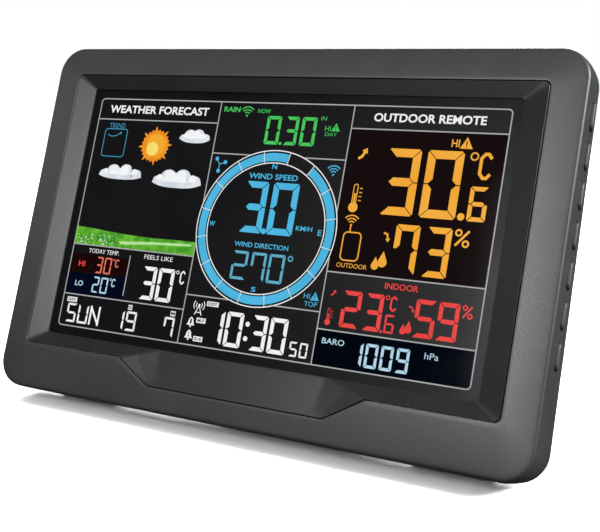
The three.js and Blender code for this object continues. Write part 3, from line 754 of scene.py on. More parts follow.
def screw_seat(u, v):
    return max(slope_y(u, v) - SCREW.depth, parting_y(v) + REAR_RIM - RIM_TAPER)


def sunk(points_at, floor):
    """A cutter for a pocket in the flat back, with a small chamfer round its mouth."""
    return capped([lifted(points_at(0), floor), lifted(points_at(0), BACK_Y - CHAMFER),
                   lifted(points_at(CHAMFER), BACK_Y + HAIR), lifted(points_at(CHAMFER), OUTSIDE_Y)])


def keyhole_outline(u, grow):
    """A round hole with a narrower slot above it."""
    head, neck = KEYHOLE.head + grow, KEYHOLE.neck + grow
    start = math.degrees(math.asin(neck / head))
    return (arc_points(u, KEYHOLE.v, head, 90 + start, 450 - start, 24)
            + arc_points(u, KEYHOLE.v + KEYHOLE.rise, neck, 0, 180, 12))


def vent_outline(u, grow):
    half, reach = VENTS.width / 2 + grow, VENTS.length / 2 + grow
    return even(u - half, u + half, VENTS.v - reach, VENTS.v + reach, half - HAIR)


def box_at(form, radius):
    """An outline function for a pocket that is symmetrical about the middle."""
    return lambda grow: even(-form.half_width - grow, form.half_width + grow,
                             form.bottom - grow, form.top + grow, radius + grow)


def rear_blocks():
    """The inner walls that the pockets in the back are cut into."""
    shelf = BACK_Y - DOOR.thickness - DOOR_GAP - DOOR_LEDGE
    blocks = []
    for form, wall, under, low in ((RECESS, RECESS_SIDE, 0, RECESS.floor - RECESS.wall),
                                   (BAY, BAY.wall, BAY.wall, BAY.floor - BAY.wall),
                                   (DOOR, BAY.wall, BAY.wall, shelf)):
        half = form.half_width + wall
        plan = even(-half, half, form.bottom - under, form.top + wall, BLOCK_RADIUS)
        blocks.append(prism(plan, low, BACK_Y - 1))
    return blocks


def rear_cuts():
    seat = BACK_Y - DOOR.thickness - DOOR_GAP
    seat_form = Sizes(half_width=DOOR.half_width + DOOR_GAP, top=DOOR.top + DOOR_GAP,
                      bottom=DOOR.bottom - DOOR_GAP)
    cuts = [sunk(box_at(RECESS, RECESS.radius), RECESS.floor),
            sunk(box_at(seat_form, DOOR.radius + DOOR_GAP), seat),
            prism(even(-BAY.half_width, BAY.half_width, BAY.bottom, BAY.top, BAY.radius),
                  BAY.floor, OUTSIDE_Y),
            sunk(lambda grow: circle(JACK.hole + grow, JACK.u, JACK.v), BACK_Y - THROUGH)]
    for side in (-1, 1):
        cuts.append(sunk(lambda grow: keyhole_outline(side * KEYHOLE.u, grow / 2),
                         BACK_Y - THROUGH))
    for i in range(VENTS.count):
        u = VENTS.u + (i - (VENTS.count - 1) / 2) * VENTS.pitch
        cuts.append(sunk(lambda grow: vent_outline(u, grow / 2), BACK_Y - THROUGH))
    cuts += [prism(circle(SCREW.well, u, v), screw_seat(u, v), OUTSIDE_Y) for u, v in CASE_SCREWS]
    return cuts


def within_cover():
    """A form just inside the cover's outer skin, which the inner walls and posts are cut to."""
    inset, back_inset = 0.4, 0.6
    return capped([rim_ring(-inset, PARTING_GAP + inset), rim_ring(-RIM_TAPER - inset, REAR_RIM),
                   lifted(outline(PLATEAU, -back_inset), BACK_Y - inset)])


def make_rear_cover():
    inner = [lifted(outline(PLATEAU, -PLATEAU_FILLET), BACK_Y - BACK_WALL),
             rim_ring(-WALL - RIM_TAPER, REAR_RIM - 0.6), rim_ring(-WALL, PARTING_GAP)]
    points, faces = capped(inner + rear_skin())
    cover = piece("rear_shell", points, faces, REAR_PLASTIC, "case", "case_plastic", ["rear_cover"])
    for block in rear_blocks():
        wall = blank(block)
        combine(wall, blank(within_cover()), "INTERSECT")
        combine(cover, wall, "UNION")
    return carve(cover, rear_cuts())


def make_screw_post(number, u, v):
    """The tube that a case screw's head sits down in."""
    tube = prism(circle(SCREW.collar, u, v), parting_y(v) + POST_CLEARANCE, BACK_Y)
    post = piece(f"screw_post_{number}", *tube, REAR_PLASTIC, "case", "case_plastic")
    combine(post, blank(within_cover()), "INTERSECT")
    return carve(post, [prism(circle(SCREW.well, u, v), screw_seat(u, v), OUTSIDE_Y)])


def make_door():
    def ring(inset, y):
        return lifted(even(-DOOR.half_width + inset, DOOR.half_width - inset,
                           DOOR.bottom + inset, DOOR.top - inset, DOOR.radius - inset), y)

    rings = [ring(inset, BACK_Y - rise) for inset, rise in eased(DOOR.edge)]
    rings.append(ring(0, BACK_Y - DOOR.thickness))
    panel = piece("door_panel", *capped(rings), REAR_PLASTIC, "battery_door", "door_plastic",
                  ["battery_door"])
    half = GRIP.half_height
    heights = [DOOR.top - GRIP.inset - i * GRIP.pitch for i in range(GRIP.count)]
    return carve(panel, [prism(even(-GRIP.half_width, GRIP.half_width, v - half, v + half,
                                    half - HAIR), BACK_Y - GRIP.depth, OUTSIDE_Y)
                         for v in heights])


# -------- kickstand and feet

HINGE = Vector((0, 21.6, -8))
STAND_OPEN = -math.radians(joint_named("kickstand_hinge")["range_deg"][0])
STAND = Sizes(half_width=35.5, length=60, half=1.5, tip=-56, radius=6, barrel=2, edge=0.6,
              barrel_edge=0.3)
DISH = Sizes(half_width=30, y=0.9, bottom=-49, top=-6, radius=2.5)
PIN_HOLE = Sizes(radius=1.15, start=24, stop=40)
SWING = Matrix.Translation(HINGE) @ Matrix.Rotation(STAND_OPEN, 4, "X")


def swung(form):
    """Puts a form drawn in the leaf's own frame where the open leaf stands."""
    points, faces = form
    return [SWING @ Vector(p) for p in points], faces


def leaf_ring(inset, y):
    half, radius = STAND.half_width - inset, STAND.radius - inset
    radii = (STAND.edge, STAND.edge, radius, radius)
    return lifted(rounded(-half, half, STAND.tip + inset, -inset, radii), y)


def dish_ring(grow, y):
    half, radius = DISH.half_width + grow, DISH.radius + grow
    return lifted(even(-half, half, DISH.bottom - grow, DISH.top + grow, radius), y)


def make_kickstand():
    back, round_edge = STAND.half, eased(STAND.edge)
    rings = [leaf_ring(inset, rise - back) for inset, rise in round_edge]
    rings += [leaf_ring(inset, back - rise) for inset, rise in reversed(round_edge)]
    rings += [dish_ring(grow, y) for grow, y in ((0.3, back), (0.05, back - 0.15),
                                                 (-0.25, DISH.y), (-1.2, DISH.y))]
    leaf = piece("stand_leaf", *swung(capped(rings)), REAR_PLASTIC, "kickstand", "stand_plastic",
                 ["kickstand"])
    half, barrel, edge = STAND.half_width, STAND.barrel, STAND.barrel_edge
    knuckle = turned_x([(barrel - edge, -half), (barrel, edge - half), (barrel, half - edge),
                        (barrel - edge, half)], 0, 0)
    combine(leaf, blank(swung(knuckle)), "UNION")
    bores = [swung(turned_x([(PIN_HOLE.radius, side * PIN_HOLE.start),
                             (PIN_HOLE.radius, side * PIN_HOLE.stop)], 0, 0, 24))
             for side in (-1, 1)]
    return carve(leaf, bores)


def make_stand_pad():
    """A rubber strip across the leaf's tip, cut level with the desk."""
    half, gap, edge = STAND.half, 0.3, 0.25
    slant = math.tan(STAND_OPEN - LEAN)
    reach = STAND.half_width - STAND.radius

    def ring(x, inset):
        side, start = half - inset, STAND.tip - gap - inset
        ends = [-STAND.length + inset - y * slant for y in (side, -side)]
        return [(x, -side, start), (x, side, start), (x, side, ends[0]), (x, -side, ends[1])]

    rings = [ring(-reach, edge), ring(edge - reach, 0), ring(reach - edge, 0), ring(reach, edge)]
    return piece("stand_pad", *swung(capped(rings)), RUBBER, "kickstand", "rubber_pad",
                 ["kickstand_pad"])


FOOT = Sizes(x=72, half_width=13, depth=7, height=6, ahead=1.1, drop=0.6, radius=1.5, edge=0.4,
             case_gap=0.15)


def make_foot(side, name):
    """A desk pad under the lower edge, moulded to the case above it."""
    parting = parting_y(CASE.bottom) + REAR_RIM
    desk = ((CASE.bottom - CROWN) * math.cos(LEAN) - parting * math.sin(LEAN)) - FOOT.drop
    front = (parting - FOOT.ahead) * math.cos(LEAN) + CASE.bottom * math.sin(LEAN)
    level = Matrix.Rotation(LEAN, 4, "X")
    rings = []
    for inset, height in (*eased(FOOT.edge), (0, FOOT.height)):
        plan = even(side * FOOT.x - FOOT.half_width + inset,
                    side * FOOT.x + FOOT.half_width - inset, front + inset,
                    front + FOOT.depth - inset, FOOT.radius - inset)
        rings.append([level @ Vector((u, y, desk + height)) for u, y in plan])
    foot = piece(f"desk_{name}", *capped(rings), RUBBER, "case", "rubber_pad", [name])
    gap = FOOT.case_gap
    outside = [lifted(outline(LIP, gap), LIP_Y - gap), lifted(outline(CASE, gap), FACE_EDGE_Y),
               lifted(outline(CASE, CROWN + gap), CROWN_Y), rim_ring(CROWN / 2 + gap, 0),
               rim_ring(gap - RIM_TAPER, REAR_RIM), lifted(outline(PLATEAU, gap), BACK_Y + gap)]
    return carve(foot, [capped(outside)])


# -------- small hardware


def make_case_screw(number, u, v):
    """A domed pan head with a cross recess, down in its well."""
    seat = screw_seat(u, v) + 0.1
    head, shaft, top = SCREW.head, SCREW.shaft, seat + SCREW.height
    profile = [(shaft, 4), (shaft, seat + 0.1), (head - 0.1, seat + 0.1), (head, seat + 0.2),
               (head, top - 0.7), (head * 0.93, top - 0.4), (head * 0.75, top - 0.15),
               (head * 0.45, top - 0.03), (head * 0.1, top)]
    screw = piece(f"pan_screw_{number}", *turned(profile, u, v), STEEL, "case", "steel",
                  [f"case_screw_{number}"], smooth_deg=50)
    reach, half, depth = head * 0.6, 0.3, 0.8
    cross = [prism(even(u - wide, u + wide, v - tall, v + tall, 0.1), top - depth, top + 1)
             for wide, tall in ((reach, half), (half, reach))]
    return carve(screw, cross)


def make_jack():
    u, v = JACK.u, JACK.v
    body = [(5.2, 13), (5.2, 20.2), (6.5, 20.2), (6.5, 21.6), (5, 21.6), (5, 23.5), (4.8, 23.7),
            (3.1, 23.7), (2.9, 23.5), (2.9, 15)]
    piece("jack_body", *turned(body, u, v), BLACK_PLASTIC, "case", "black_plastic", ["dc_jack"])
    piece("jack_pin", *turned([(1, 15.02), (1, 21.2), (0.7, 21.5)], u, v, 24), STEEL, "case")


CELL = Sizes(radius=5.25, length=44.5, pitch=11.3, left=-20.2, nose=0.9, floor_gap=0.3)


def make_cell(number):
    """A sleeved cell with a steel top; every other one lies the other way round."""
    turn = -1 if number % 2 == 0 else 1
    y = BAY.floor + CELL.floor_gap + CELL.radius
    z = (BAY.bottom + BAY.top) / 2 + (number - 2) * CELL.pitch
    shoulder = CELL.left + CELL.length - CELL.nose
    radius = CELL.radius
    sleeve = [(radius - 0.5, CELL.left), (radius - 0.12, CELL.left + 0.12),
              (radius, CELL.left + 0.5), (radius, shoulder - 0.9), (radius - 0.25, shoulder - 0.4),
              (radius - 0.7, shoulder - 0.35)]
    cap = [(radius - 0.75, shoulder - 0.5), (radius - 1, shoulder - 0.05), (2, shoulder),
           (1.8, shoulder + 0.1), (1.8, shoulder + CELL.nose - 0.2),
           (1.5, shoulder + CELL.nose)]
    for label, profile, material, slot, nodes in (
            ("cell_sleeve", sleeve, SLEEVE, "cell_wrap", [f"battery_cell_{number}"]),
            ("cell_top", cap, STEEL, None, [])):
        form = turned_x([(r, turn * x) for r, x in profile], y, z)
        piece(f"{label}_{number}", *form, material, "case", slot, nodes, smooth_deg=50)


# -------- display print


class Ink:
    """Flat display segments of one colour, drawn in face millimetres (u to the right, v up)."""

    def __init__(self, name, material, layer=0):
        self.name, self.material = name, material
        self.y = PRINT_Y - LAYER_STEP * layer
        self.points, self.faces = [], []

    def polygon(self, points):
        start = len(self.points)
        self.points += [(u, self.y, v) for u, v in points]
        self.faces.append(tuple(range(start, start + len(points))))

    def box(self, u0, u1, v0, v1):
        self.polygon([(u0, v0), (u1, v0), (u1, v1), (u0, v1)])

    def line(self, points, width, closed=False):
        """A stroke of even width with mitred bends."""
        vectors = [Vector(p) for p in points]
        count = len(vectors)
        left, right = [], []
        for i, here in enumerate(vectors):
            before = vectors[i - 1] if closed or i else None
            after = vectors[(i + 1) % count] if closed or i + 1 < count else None
            ahead = (after - here).normalized() if after else (here - before).normalized()
            behind = (here - before).normalized() if before else ahead
            bisector = (ahead + behind).normalized()
            normal = Vector((-bisector.y, bisector.x))
            reach = width / 2 / max(normal.dot(Vector((-ahead.y, ahead.x))), 0.4)
            left.append(here + normal * reach)
            right.append(here - normal * reach)
        start = len(self.points)
        for a, b in zip(left, right):
            self.points += [(a.x, self.y, a.y), (b.x, self.y, b.y)]
        for i in range(count if closed else count - 1):
            j = (i + 1) % count
            self.faces.append((start + 2 * i, start + 2 * i + 1, start + 2 * j + 1, start + 2 * j))

    def arc(self, u, v, radius, start, stop, width, count=24):
        self.line(arc_points(u, v, radius, start, stop, count), width)

    def ring(self, u, v, radius, width, count=96):
        self.line(circle(radius, u, v, count), width, closed=True)

    def disc(self, u, v, radius, count=20):
        self.polygon(circle(radius, u, v, count))

    def words(self, text, u0, u1, v_top, v_bottom, weight=0.0):
        """Plain capitals stretched to fill a box."""
        curve = bpy.data.curves.new("words", "FONT")
        curve.body = text
        curve.offset = weight
        curve.resolution_u = 3
        helper = linked("words", curve)
        graph = bpy.context.evaluated_depsgraph_get()
        mesh = helper.evaluated_get(graph).to_mesh()
        us = [p.co.x for p in mesh.vertices]
        vs = [p.co.y for p in mesh.vertices]
        start = len(self.points)
        for p in mesh.vertices:
            share_u = (p.co.x - min(us)) / (max(us) - min(us))
            share_v = (p.co.y - min(vs)) / (max(vs) - min(vs))
            self.points.append((mix(u0, u1, share_u), self.y, mix(v_bottom, v_top, share_v)))
        self.faces += [tuple(start + i for i in f.vertices) for f in mesh.polygons]
        bpy.data.objects.remove(helper)

    def make(self):
        piece(self.name, self.points, self.faces, self.material, "case")


SEGMENTS = {"0": "abcdef", "1": "bc", "2": "abged", "3": "abgcd", "4": "fgbc", "5": "afgcd",
            "6": "afgedc", "7": "abcf", "9": "abcdfg", "S": "afgcd", "U": "bcdef"}


def digit(ink, character, u0, u1, v_top, v_bottom, stroke):
    """A seven-segment character with mitred corners and small gaps."""
    width, height, middle = u1 - u0, v_top - v_bottom, (v_top - v_bottom) / 2
    gap = min(0.17, stroke * 0.14)
    chip = stroke * 0.22
    if character == "1":
        width = stroke
    top = [(chip + gap, height), (width - chip - gap, height),
           (width - chip / 2 - gap, height - chip / 2), (width - stroke - gap, height - stroke),
           (stroke + gap, height - stroke), (chip / 2 + gap, height - chip / 2)]
    upper_left = [(0, height - chip - gap), (chip / 2, height - chip / 2 - gap),
                  (stroke, height - stroke - gap), (stroke, middle + stroke / 2 + gap),
                  (stroke / 2, middle + gap), (0, middle + gap)]
    half = stroke / 2
    bar = [(half + gap, middle), (stroke + gap, middle + half), (width - stroke - gap, middle + half),
           (width - half - gap, middle), (width - stroke - gap, middle - half),
           (stroke + gap, middle - half)]

    def flip_u(points):
        return [(width - u, v) for u, v in points]

    def flip_v(points):
        return [(u, height - v) for u, v in points]

    shapes = {"a": top, "d": flip_v(top), "g": bar, "f": upper_left, "b": flip_u(upper_left),
              "e": flip_v(upper_left), "c": flip_v(flip_u(upper_left))}
    shift = u1 - width if character == "1" else u0
    for segment in SEGMENTS[character]:
        ink.polygon([(u + shift, v + v_bottom) for u, v in shapes[segment]])


def number(ink, characters, lefts, rights, v_top, v_bottom, stroke):
    for character, u0, u1 in zip(characters, lefts, rights):
        digit(ink, character, u0, u1, v_top, v_bottom, stroke)


def degrees_c(ink, u, v, radius, letter, stroke):
    """A degree ring and a C; letter is (u0, u1, v_top, v_bottom)."""
    ink.ring(u, v, radius, stroke * 0.45, 20)
    u0, u1, top, bottom = letter
    corner = (top - bottom) * 0.22
    half = stroke / 2
    right, left, lean = u1 - half, u0 + half, corner * 0.6
    ink.line([(right, top - corner), (right - lean, top - half), (left + lean, top - half),
              (left, top - corner), (left, bottom + corner), (left + lean, bottom + half),
              (right - lean, bottom + half), (right, bottom + corner)], stroke)


def percent(ink, u0, u1, v_top, v_bottom, stroke):
    ring = (v_top - v_bottom) * 0.2
    ink.line([(u0 + 0.4, v_bottom + stroke / 2), (u1 - 0.4, v_top - stroke / 2)], stroke)
    ink.ring(u0 + ring, v_top - ring, ring * 0.8, stroke * 0.8, 20)
    ink.ring(u1 - ring, v_bottom + ring, ring * 0.8, stroke * 0.8, 20)


def radio_waves(ink, u, v, size, angle=90):
    """Three nested arcs over a dot."""
    ink.disc(u, v, size * 0.12)
    for share in (0.38, 0.68, 1.0):
        ink.arc(u, v, size * share, angle - 48, angle + 48, size * 0.13, 12)


def alert(ink, u, v_bottom, v_top, black):
    """A filled warning triangle with a dark stroke in it."""
    half = (v_top - v_bottom) * 0.56
    ink.polygon([(u - half, v_bottom), (u + half, v_bottom), (u, v_top)])
    rise = v_top - v_bottom
    black.box(u - rise * 0.05, u + rise * 0.05, v_bottom + rise * 0.3, v_bottom + rise * 0.66)
    black.disc(u, v_bottom + rise * 0.16, rise * 0.06, 10)


def swoosh(ink, points, width, head):
    """A bent arrow along points, with its head at the last one."""
    ink.line(points, width)
    tip, before = Vector(points[-1]), Vector(points[-2])
    ahead = (tip - before).normalized()
    side = Vector((-ahead.y, ahead.x))
    ink.polygon([tuple(tip + ahead * head), tuple(tip + side * head * 0.7),
                 tuple(tip - side * head * 0.7)])


def thermometer(ink, u0, u1, v_top, v_bottom):
    bulb = (u1 - u0) * 0.42
    u = u0 + bulb
    stem = bulb * 0.42
    line = bulb * 0.2
    ink.arc(u, v_top - stem, stem, 0, 180, line, 10)
    for side in (-1, 1):
        ink.line([(u + side * stem, v_top - stem), (u + side * stem, v_bottom + bulb * 1.8)], line)
    ink.disc(u, v_bottom + bulb, bulb)
    ink.line([(u, v_bottom + bulb), (u, v_top - bulb * 1.8)], stem * 0.9)
    for i in range(4):
        v = mix(v_bottom + bulb * 2.4, v_top - bulb * 0.8, i / 3)
        ink.line([(u + stem * 2, v), (u + stem * 2 + bulb * 0.6, v)], line)


def drop(ink, u, v_bottom, v_top):
    """A water drop standing on v_bottom."""
    radius = (v_top - v_bottom) * 0.3
    ink.polygon([(u, v_top)] + arc_points(u, v_bottom + radius, radius, 150, 390, 12))


def rounded_frame(ink, u0, u1, v0, v1, radius, width):
    ink.line(even(u0, u1, v0, v1, radius), width, closed=True)


def badge(paper, black, text, u0, u1, v_top, v_bottom):
    """Dark letters on a small lit block."""
    paper.box(u0, u1, v_bottom, v_top)
    rim_u, rim_v = (u1 - u0) * 0.12, (v_top - v_bottom) * 0.2
    black.words(text, u0 + rim_u, u1 - rim_u, v_top - rim_v, v_bottom + rim_v, 0.02)


def cloud(ink, u0, u1, v_top, v_bottom):
    """A cloud of overlapping puffs over a belly that curves up at both ends."""
    width, height = u1 - u0, v_top - v_bottom
    puffs = [(0.14, 0.34, 0.26), (0.34, 0.56, 0.4), (0.6, 0.62, 0.38), (0.83, 0.38, 0.3),
             (0.5, 0.34, 0.34)]
    top, belly = [], []
    count = 48
    for i in range(count + 1):
        share = i / count
        lift = height * 0.3 * abs(2 * share - 1) ** 3
        rise = lift
        for cu, cv, radius in puffs:
            reach = radius * height * 1.25
            du = (share - cu) * width / reach
            if abs(du) < 1:
                rise = max(rise, (cv + radius * math.sqrt(1 - du * du)) * height)
        top.append((u0 + share * width, v_bottom + rise))
        belly.append((u0 + share * width, v_bottom + lift))
    ink.polygon(belly + top[::-1])


RING_CENTRE = (0.0, -0.48)


def compass(inks):
    white, blue = inks["white"], inks["blue"]
    u, v = RING_CENTRE
    white.ring(u, v, 27.12, 0.35)
    white.ring(u, v, 22.78, 0.35)
    sector, gap = 22.5, 0.35
    for i in range(16):
        start = 90 - sector / 2 - i * sector
        white.line([on_circle(u, v, r, math.radians(start)) for r in (22.9, 27.0)], 0.22)
        if i > 0:
            blue.arc(u, v, 24.85, start - sector + gap, start - gap, 2.9, 8)
    for text, u0, u1, top, bottom in (("N", -1.1, 0.8, 21.9, 20.1), ("E", 20.5, 21.9, 0.6, -1.4),
                                      ("S", -0.9, 0.9, -20.8, -22.5), ("W", -22.2, -19.9, 0.4, -1.4)):
        blue.words(text, u0, u1, top, bottom, 0.02)


def grid(ink):
    line = 0.42
    rounded_frame(ink, -80, 80, -43.4, 43.4, 1.4, line)
    reach = 27.3
    _, ring_v = RING_CENTRE
    for u in (-26.3, 26.2):
        touch = math.sqrt(reach ** 2 - u ** 2)
        ink.line([(u, 43.4), (u, ring_v + touch)], line)
        ink.line([(u, ring_v - touch), (u, -43.4)], line)
    for u0, u1, v in ((-80, -26.3, 35.5), (26.2, 80, 35.5), (-80, -26.3, -12.8), (26.2, 80, -12.7),
                      (-80, -26.3, -31.6), (26.2, 80, -31.6), (-26.3, -10.6, 24.6),
                      (10.6, 26.2, 24.6), (-26.3, -7.6, -26.2), (7.6, 26.2, -26.2)):
        ink.line([(u0, v), (u1, v)], line)
    ink.line([(-53.2, -15), (-53.2, -29.8)], line)


def forecast_block(inks):
    white, blue, black = inks["white"], inks["trend"], inks["black"]
    white.words("WEATHER FORECAST", -75.4, -31.0, 41, 38, 0.025)
    blue.words("TREND", -74.2, -66.8, 34, 32.2)
    rounded_frame(blue, -75.7, -65.4, 21.2, 31.8, 1.2, 0.35)
    swoosh(blue, [(-74.2, 29.6), (-72.4, 28.9), (-70.4, 29.2), (-68.6, 30.2)], 0.35, 0.9)
    sun_u, sun_v = -51.7, 26.1
    rays = []
    for i in range(48):
        angle = math.radians(i * 7.5 + 5)
        radius = 7.5 if i % 6 == 0 else (6.3 if i % 2 == 0 else 5.5)
        rays.append(on_circle(sun_u, sun_v, radius, angle))
    inks["sun"].polygon(rays)
    inks["sun_core"].disc(sun_u + 0.2, sun_v + 0.2, 4.2, 32)
    inks["sun_glow"].disc(sun_u - 1.0, sun_v - 1.2, 2.6, 28)
    for box in ((-41.7, -28.2, 32.9, 27.8), (-75.8, -53.9, 18.5, 12.7), (-51, -27.7, 17.9, 11)):
        cloud(inks["cloud"], *box)
        u0, u1, top, bottom = box
        cloud(inks["cloud_light"], u0 + 1.2, u1 - 1.6, top - 0.5, mix(bottom, top, 0.3))
    crest = [(-80, -6.1), (-73, -6.4), (-66, -7), (-56, -7.6), (-45, -7.9), (-36, -7.7), (-26.5, -7.8)]
    inks["meadow"].polygon([(-80, -12.6), (-26.5, -12.6)] + crest[::-1])
    inks["meadow_light"].polygon([(-60, -10.4), (-46, -9.4), (-28, -8.6), (-28, -9.5), (-44, -10.2),
                                  (-58, -11.4)])
    draw = random.Random(7)
    for _ in range(46):
        u, v = draw.uniform(-79.4, -60), draw.uniform(-12.2, -8.6)
        inks["flower"].disc(u, v, draw.uniform(0.12, 0.3), 6)
    white.words("TODAY TEMP.", -72.4, -58.4, -14, -15.6)
    white.words("FEELS LIKE", -47, -34.6, -14, -15.6)
    inks["red"].words("HI", -76, -73, -18.9, -21, 0.02)
    inks["ice"].words("LO", -75.9, -72.2, -26.3, -28.3, 0.02)
    number(inks["salmon"], "30", (-67.8, -64.1), (-64.9, -60.9), -16.8, -22.9, 0.6)
    number(inks["ice"], "20", (-67.8, -64.1), (-64.9, -60.9), -24.2, -30.1, 0.6)
    degrees_c(inks["salmon"], -60, -17.4, 0.35, (-59.3, -57.5, -17, -20), 0.45)
    degrees_c(inks["ice"], -60, -24.6, 0.35, (-59.3, -57.5, -24.2, -27.2), 0.45)
    number(white, "30", (-46.2, -39.3), (-40.2, -32.6), -18.2, -30.1, 1.4)
    degrees_c(white, -31.4, -19, 0.55, (-30.2, -28, -18.3, -23.1), 0.55)
    badge(inks["paper"], black, "DAY", -78, -73.4, -32.7, -34.5)
    badge(inks["paper"], black, "D", -49.8, -48, -32.7, -34.5)
    badge(inks["paper"], black, "M", -31.3, -29.2, -32.7, -34.5)
    number(white, "SU", (-77.1, -71.8), (-72.8, -67.2), -35, -42, 0.78)
    for u in (-66.0, -62.2):
        white.line([(u, -42), (u, -35)], 0.78)
    white.line([(-66.2, -35.4), (-62.0, -41.6)], 0.78)
    number(white, "197", (-51.6, -49.9, -33.3), (-50.8, -45.4, -29), -35, -42, 0.78)


def wind_block(inks):
    green, blue, white, black = inks["green"], inks["blue"], inks["white"], inks["black"]
    green.words("RAIN", -24.7, -18, 41.7, 39.8, 0.03)
    radio_waves(green, -14.9, 38.6, 3.2)
    green.words("NOW", -10.7, -5.6, 41.2, 39.7, 0.01)
    number(green, "030", (-6.3, 1.2, 7.5), (-0.6, 6.3, 13.2), 38.8, 28.7, 1.2)
    green.disc(0.25, 29.2, 0.55)
    green.words("IN", 14.5, 16.6, 39.2, 37.8)
    green.words("HI", 16.5, 18.6, 36, 34.2)
    alert(green, 20.5, 34.2, 37.1, black)
    green.words("DAY", 16.9, 21.3, 33.7, 32.5)
    hub = (-22.5, 20.7)
    for angle in (125, 20, 268):
        blue.line([hub, on_circle(*hub, 2, math.radians(angle))], 0.3)
        blue.disc(*on_circle(*hub, 2.4, math.radians(angle)), 0.75, 12)
    radio_waves(blue, 22.4, 19.4, 3.1)
    compass(inks)
    blue.words("WIND SPEED", -9.6, 9.6, 18.4, 16.4, 0.02)
    number(blue, "30", (-10, 0.9), (-1, 10.9), 15.5, -2.5, 2.3)
    blue.disc(-0.1, -1.6, 1.0)
    blue.words("KM/H", 12.1, 18.3, 1.3, -0.3, 0.02)
    blue.words("WIND DIRECTION", -10.5, 10.6, -5.8, -7.5, 0.015)
    number(inks["dim_blue"], "270", (-10.2, -2.7, 4.1), (-4.1, 3.1, 10.2), -9, -18.9, 0.95)
    inks["dim_blue"].ring(12.1, -10, 0.8, 0.45, 20)
    blue.words("HI", 19.4, 21.6, -20.7, -22.4)
    alert(blue, 23.5, -22.8, -19.9, black)
    blue.words("TOP", 20, 24.8, -23.3, -24.9)
    hub = (-20.1, -29.4)
    for side in (0, 180):
        for radius in (1.2, 2.2):
            white.arc(*hub, radius, side - 40, side + 40, 0.3, 8)
    white.disc(*hub, 0.45, 12)
    white.line([(-21.5, -32.8), hub, (-18.7, -32.8)], 0.35)
    white.line([(-21.1, -31.9), (-19.1, -31.9)], 0.3)
    badge(inks["paper"], black, "DST", -17.1, -12.3, -27.6, -29.3)
    for top, text, days in ((-33.6, "1", "M-F"), (-38.1, "2", "S-S")):
        middle, base = -22.3, top - 3.0
        white.polygon([(middle - 1.6, base), (middle + 1.6, base), (middle + 1.1, base + 0.9),
                       (middle + 0.9, top - 0.9), (middle, top), (middle - 0.9, top - 0.9),
                       (middle - 1.1, base + 0.9)])
        black.words(text, middle - 0.35, middle + 0.35, top - 0.8, base + 0.5, 0.03)
        white.disc(middle, base - 0.4, 0.35, 10)
        low = top - 0.1 if text == "1" else top - 2.0
        badge(inks["paper"], black, days, -20.2, -16.4, low, low - 1.8)
    number(white, "1030", (-10.6, -8.1, 2.1, 9), (-9, -1.5, 8, 15.6), -30.1, -42, 1.4)
    for v in (-33.5, -38.4):
        white.disc(0.3, v, 0.85)
    number(white, "50", (17.4, 21.2), (20.3, 24.1), -37, -41.9, 0.6)


def outdoor_block(inks):
    white, amber, black = inks["white"], inks["amber"], inks["black"]
    white.words("OUTDOOR REMOTE", 33.8, 72.2, 41, 38.1, 0.025)
    amber.words("HI", 61.9, 64.6, 33.2, 30.7, 0.02)
    alert(amber, 66.9, 30.3, 34.1, black)
    swoosh(amber, [(30.6, 25.4), (31.9, 26.2), (32.6, 27.6)], 0.9, 1.7)
    number(amber, "30", (41.1, 54.7), (52.5, 66.8), 29.4, 7.5, 2.75)
    amber.disc(68.6, 8.7, 1.2)
    degrees_c(amber, 70.1, 28, 1.15, (71.9, 76.3, 29.4, 20.7), 1.05)
    digit(amber, "6", 70.4, 76.4, 18.5, 7.5, 1.4)
    thermometer(amber, 29.9, 33.9, 16.8, 7.4)
    radio_waves(amber, 32, 3.2, 3.2)
    amber.line([(32, 3), (32, 0.8)], 0.45)
    rounded_frame(amber, 30, 36.3, -8.5, 0.8, 1.4, 0.45)
    swoosh(amber, [(44, 1.6), (45.3, 1.2), (45.6, -0.2)], 0.6, 1.2)
    drop(amber, 42.6, -10.6, -6.3)
    drop(amber, 45.0, -9.6, -4.3)
    number(amber, "73", (48, 58.6), (56.2, 66.8), 4.8, -11.1, 2)
    percent(amber, 67.7, 72.6, 4.8, -0.8, 0.75)
    amber.words("OUTDOOR", 29.2, 40, -9.4, -10.9)


def indoor_block(inks):
    red, ice, white = inks["red"], inks["ice"], inks["white"]
    red.words("INDOOR", 47.3, 58.7, -14.2, -16.2, 0.015)
    swoosh(red, [(29.1, -20.3), (29.9, -19.9), (30.3, -19.2)], 0.5, 0.9)
    thermometer(red, 28.4, 30.8, -24.6, -30.1)
    number(red, "23", (33.6, 41.7), (40.3, 47.9), -18.2, -30.1, 1.4)
    red.disc(48.5, -29.8, 0.45)
    degrees_c(red, 49.1, -18.9, 0.6, (50.1, 52.5, -18.3, -23.1), 0.6)
    digit(red, "6", 49.2, 52.5, -24.2, -30.1, 0.65)
    swoosh(red, [(56.5, -20.8), (57.6, -21.1), (58, -22)], 0.45, 0.8)
    drop(red, 55.6, -29.8, -26.4)
    drop(red, 57.3, -29.3, -25.3)
    number(red, "59", (58.8, 66.4), (65.6, 73.1), -18.2, -30.1, 1.4)
    percent(red, 73.8, 77.3, -18.3, -22.5, 0.55)
    ice.words("BARO", 28.7, 36.7, -34.2, -36.1, 0.01)
    number(ice, "1009", (42.3, 44.4, 49.7, 55), (43.5, 48.7, 53.9, 59.3), -34.1, -41.8, 0.95)
    ice.words("hPa", 64.1, 68.7, -34.3, -36.3)


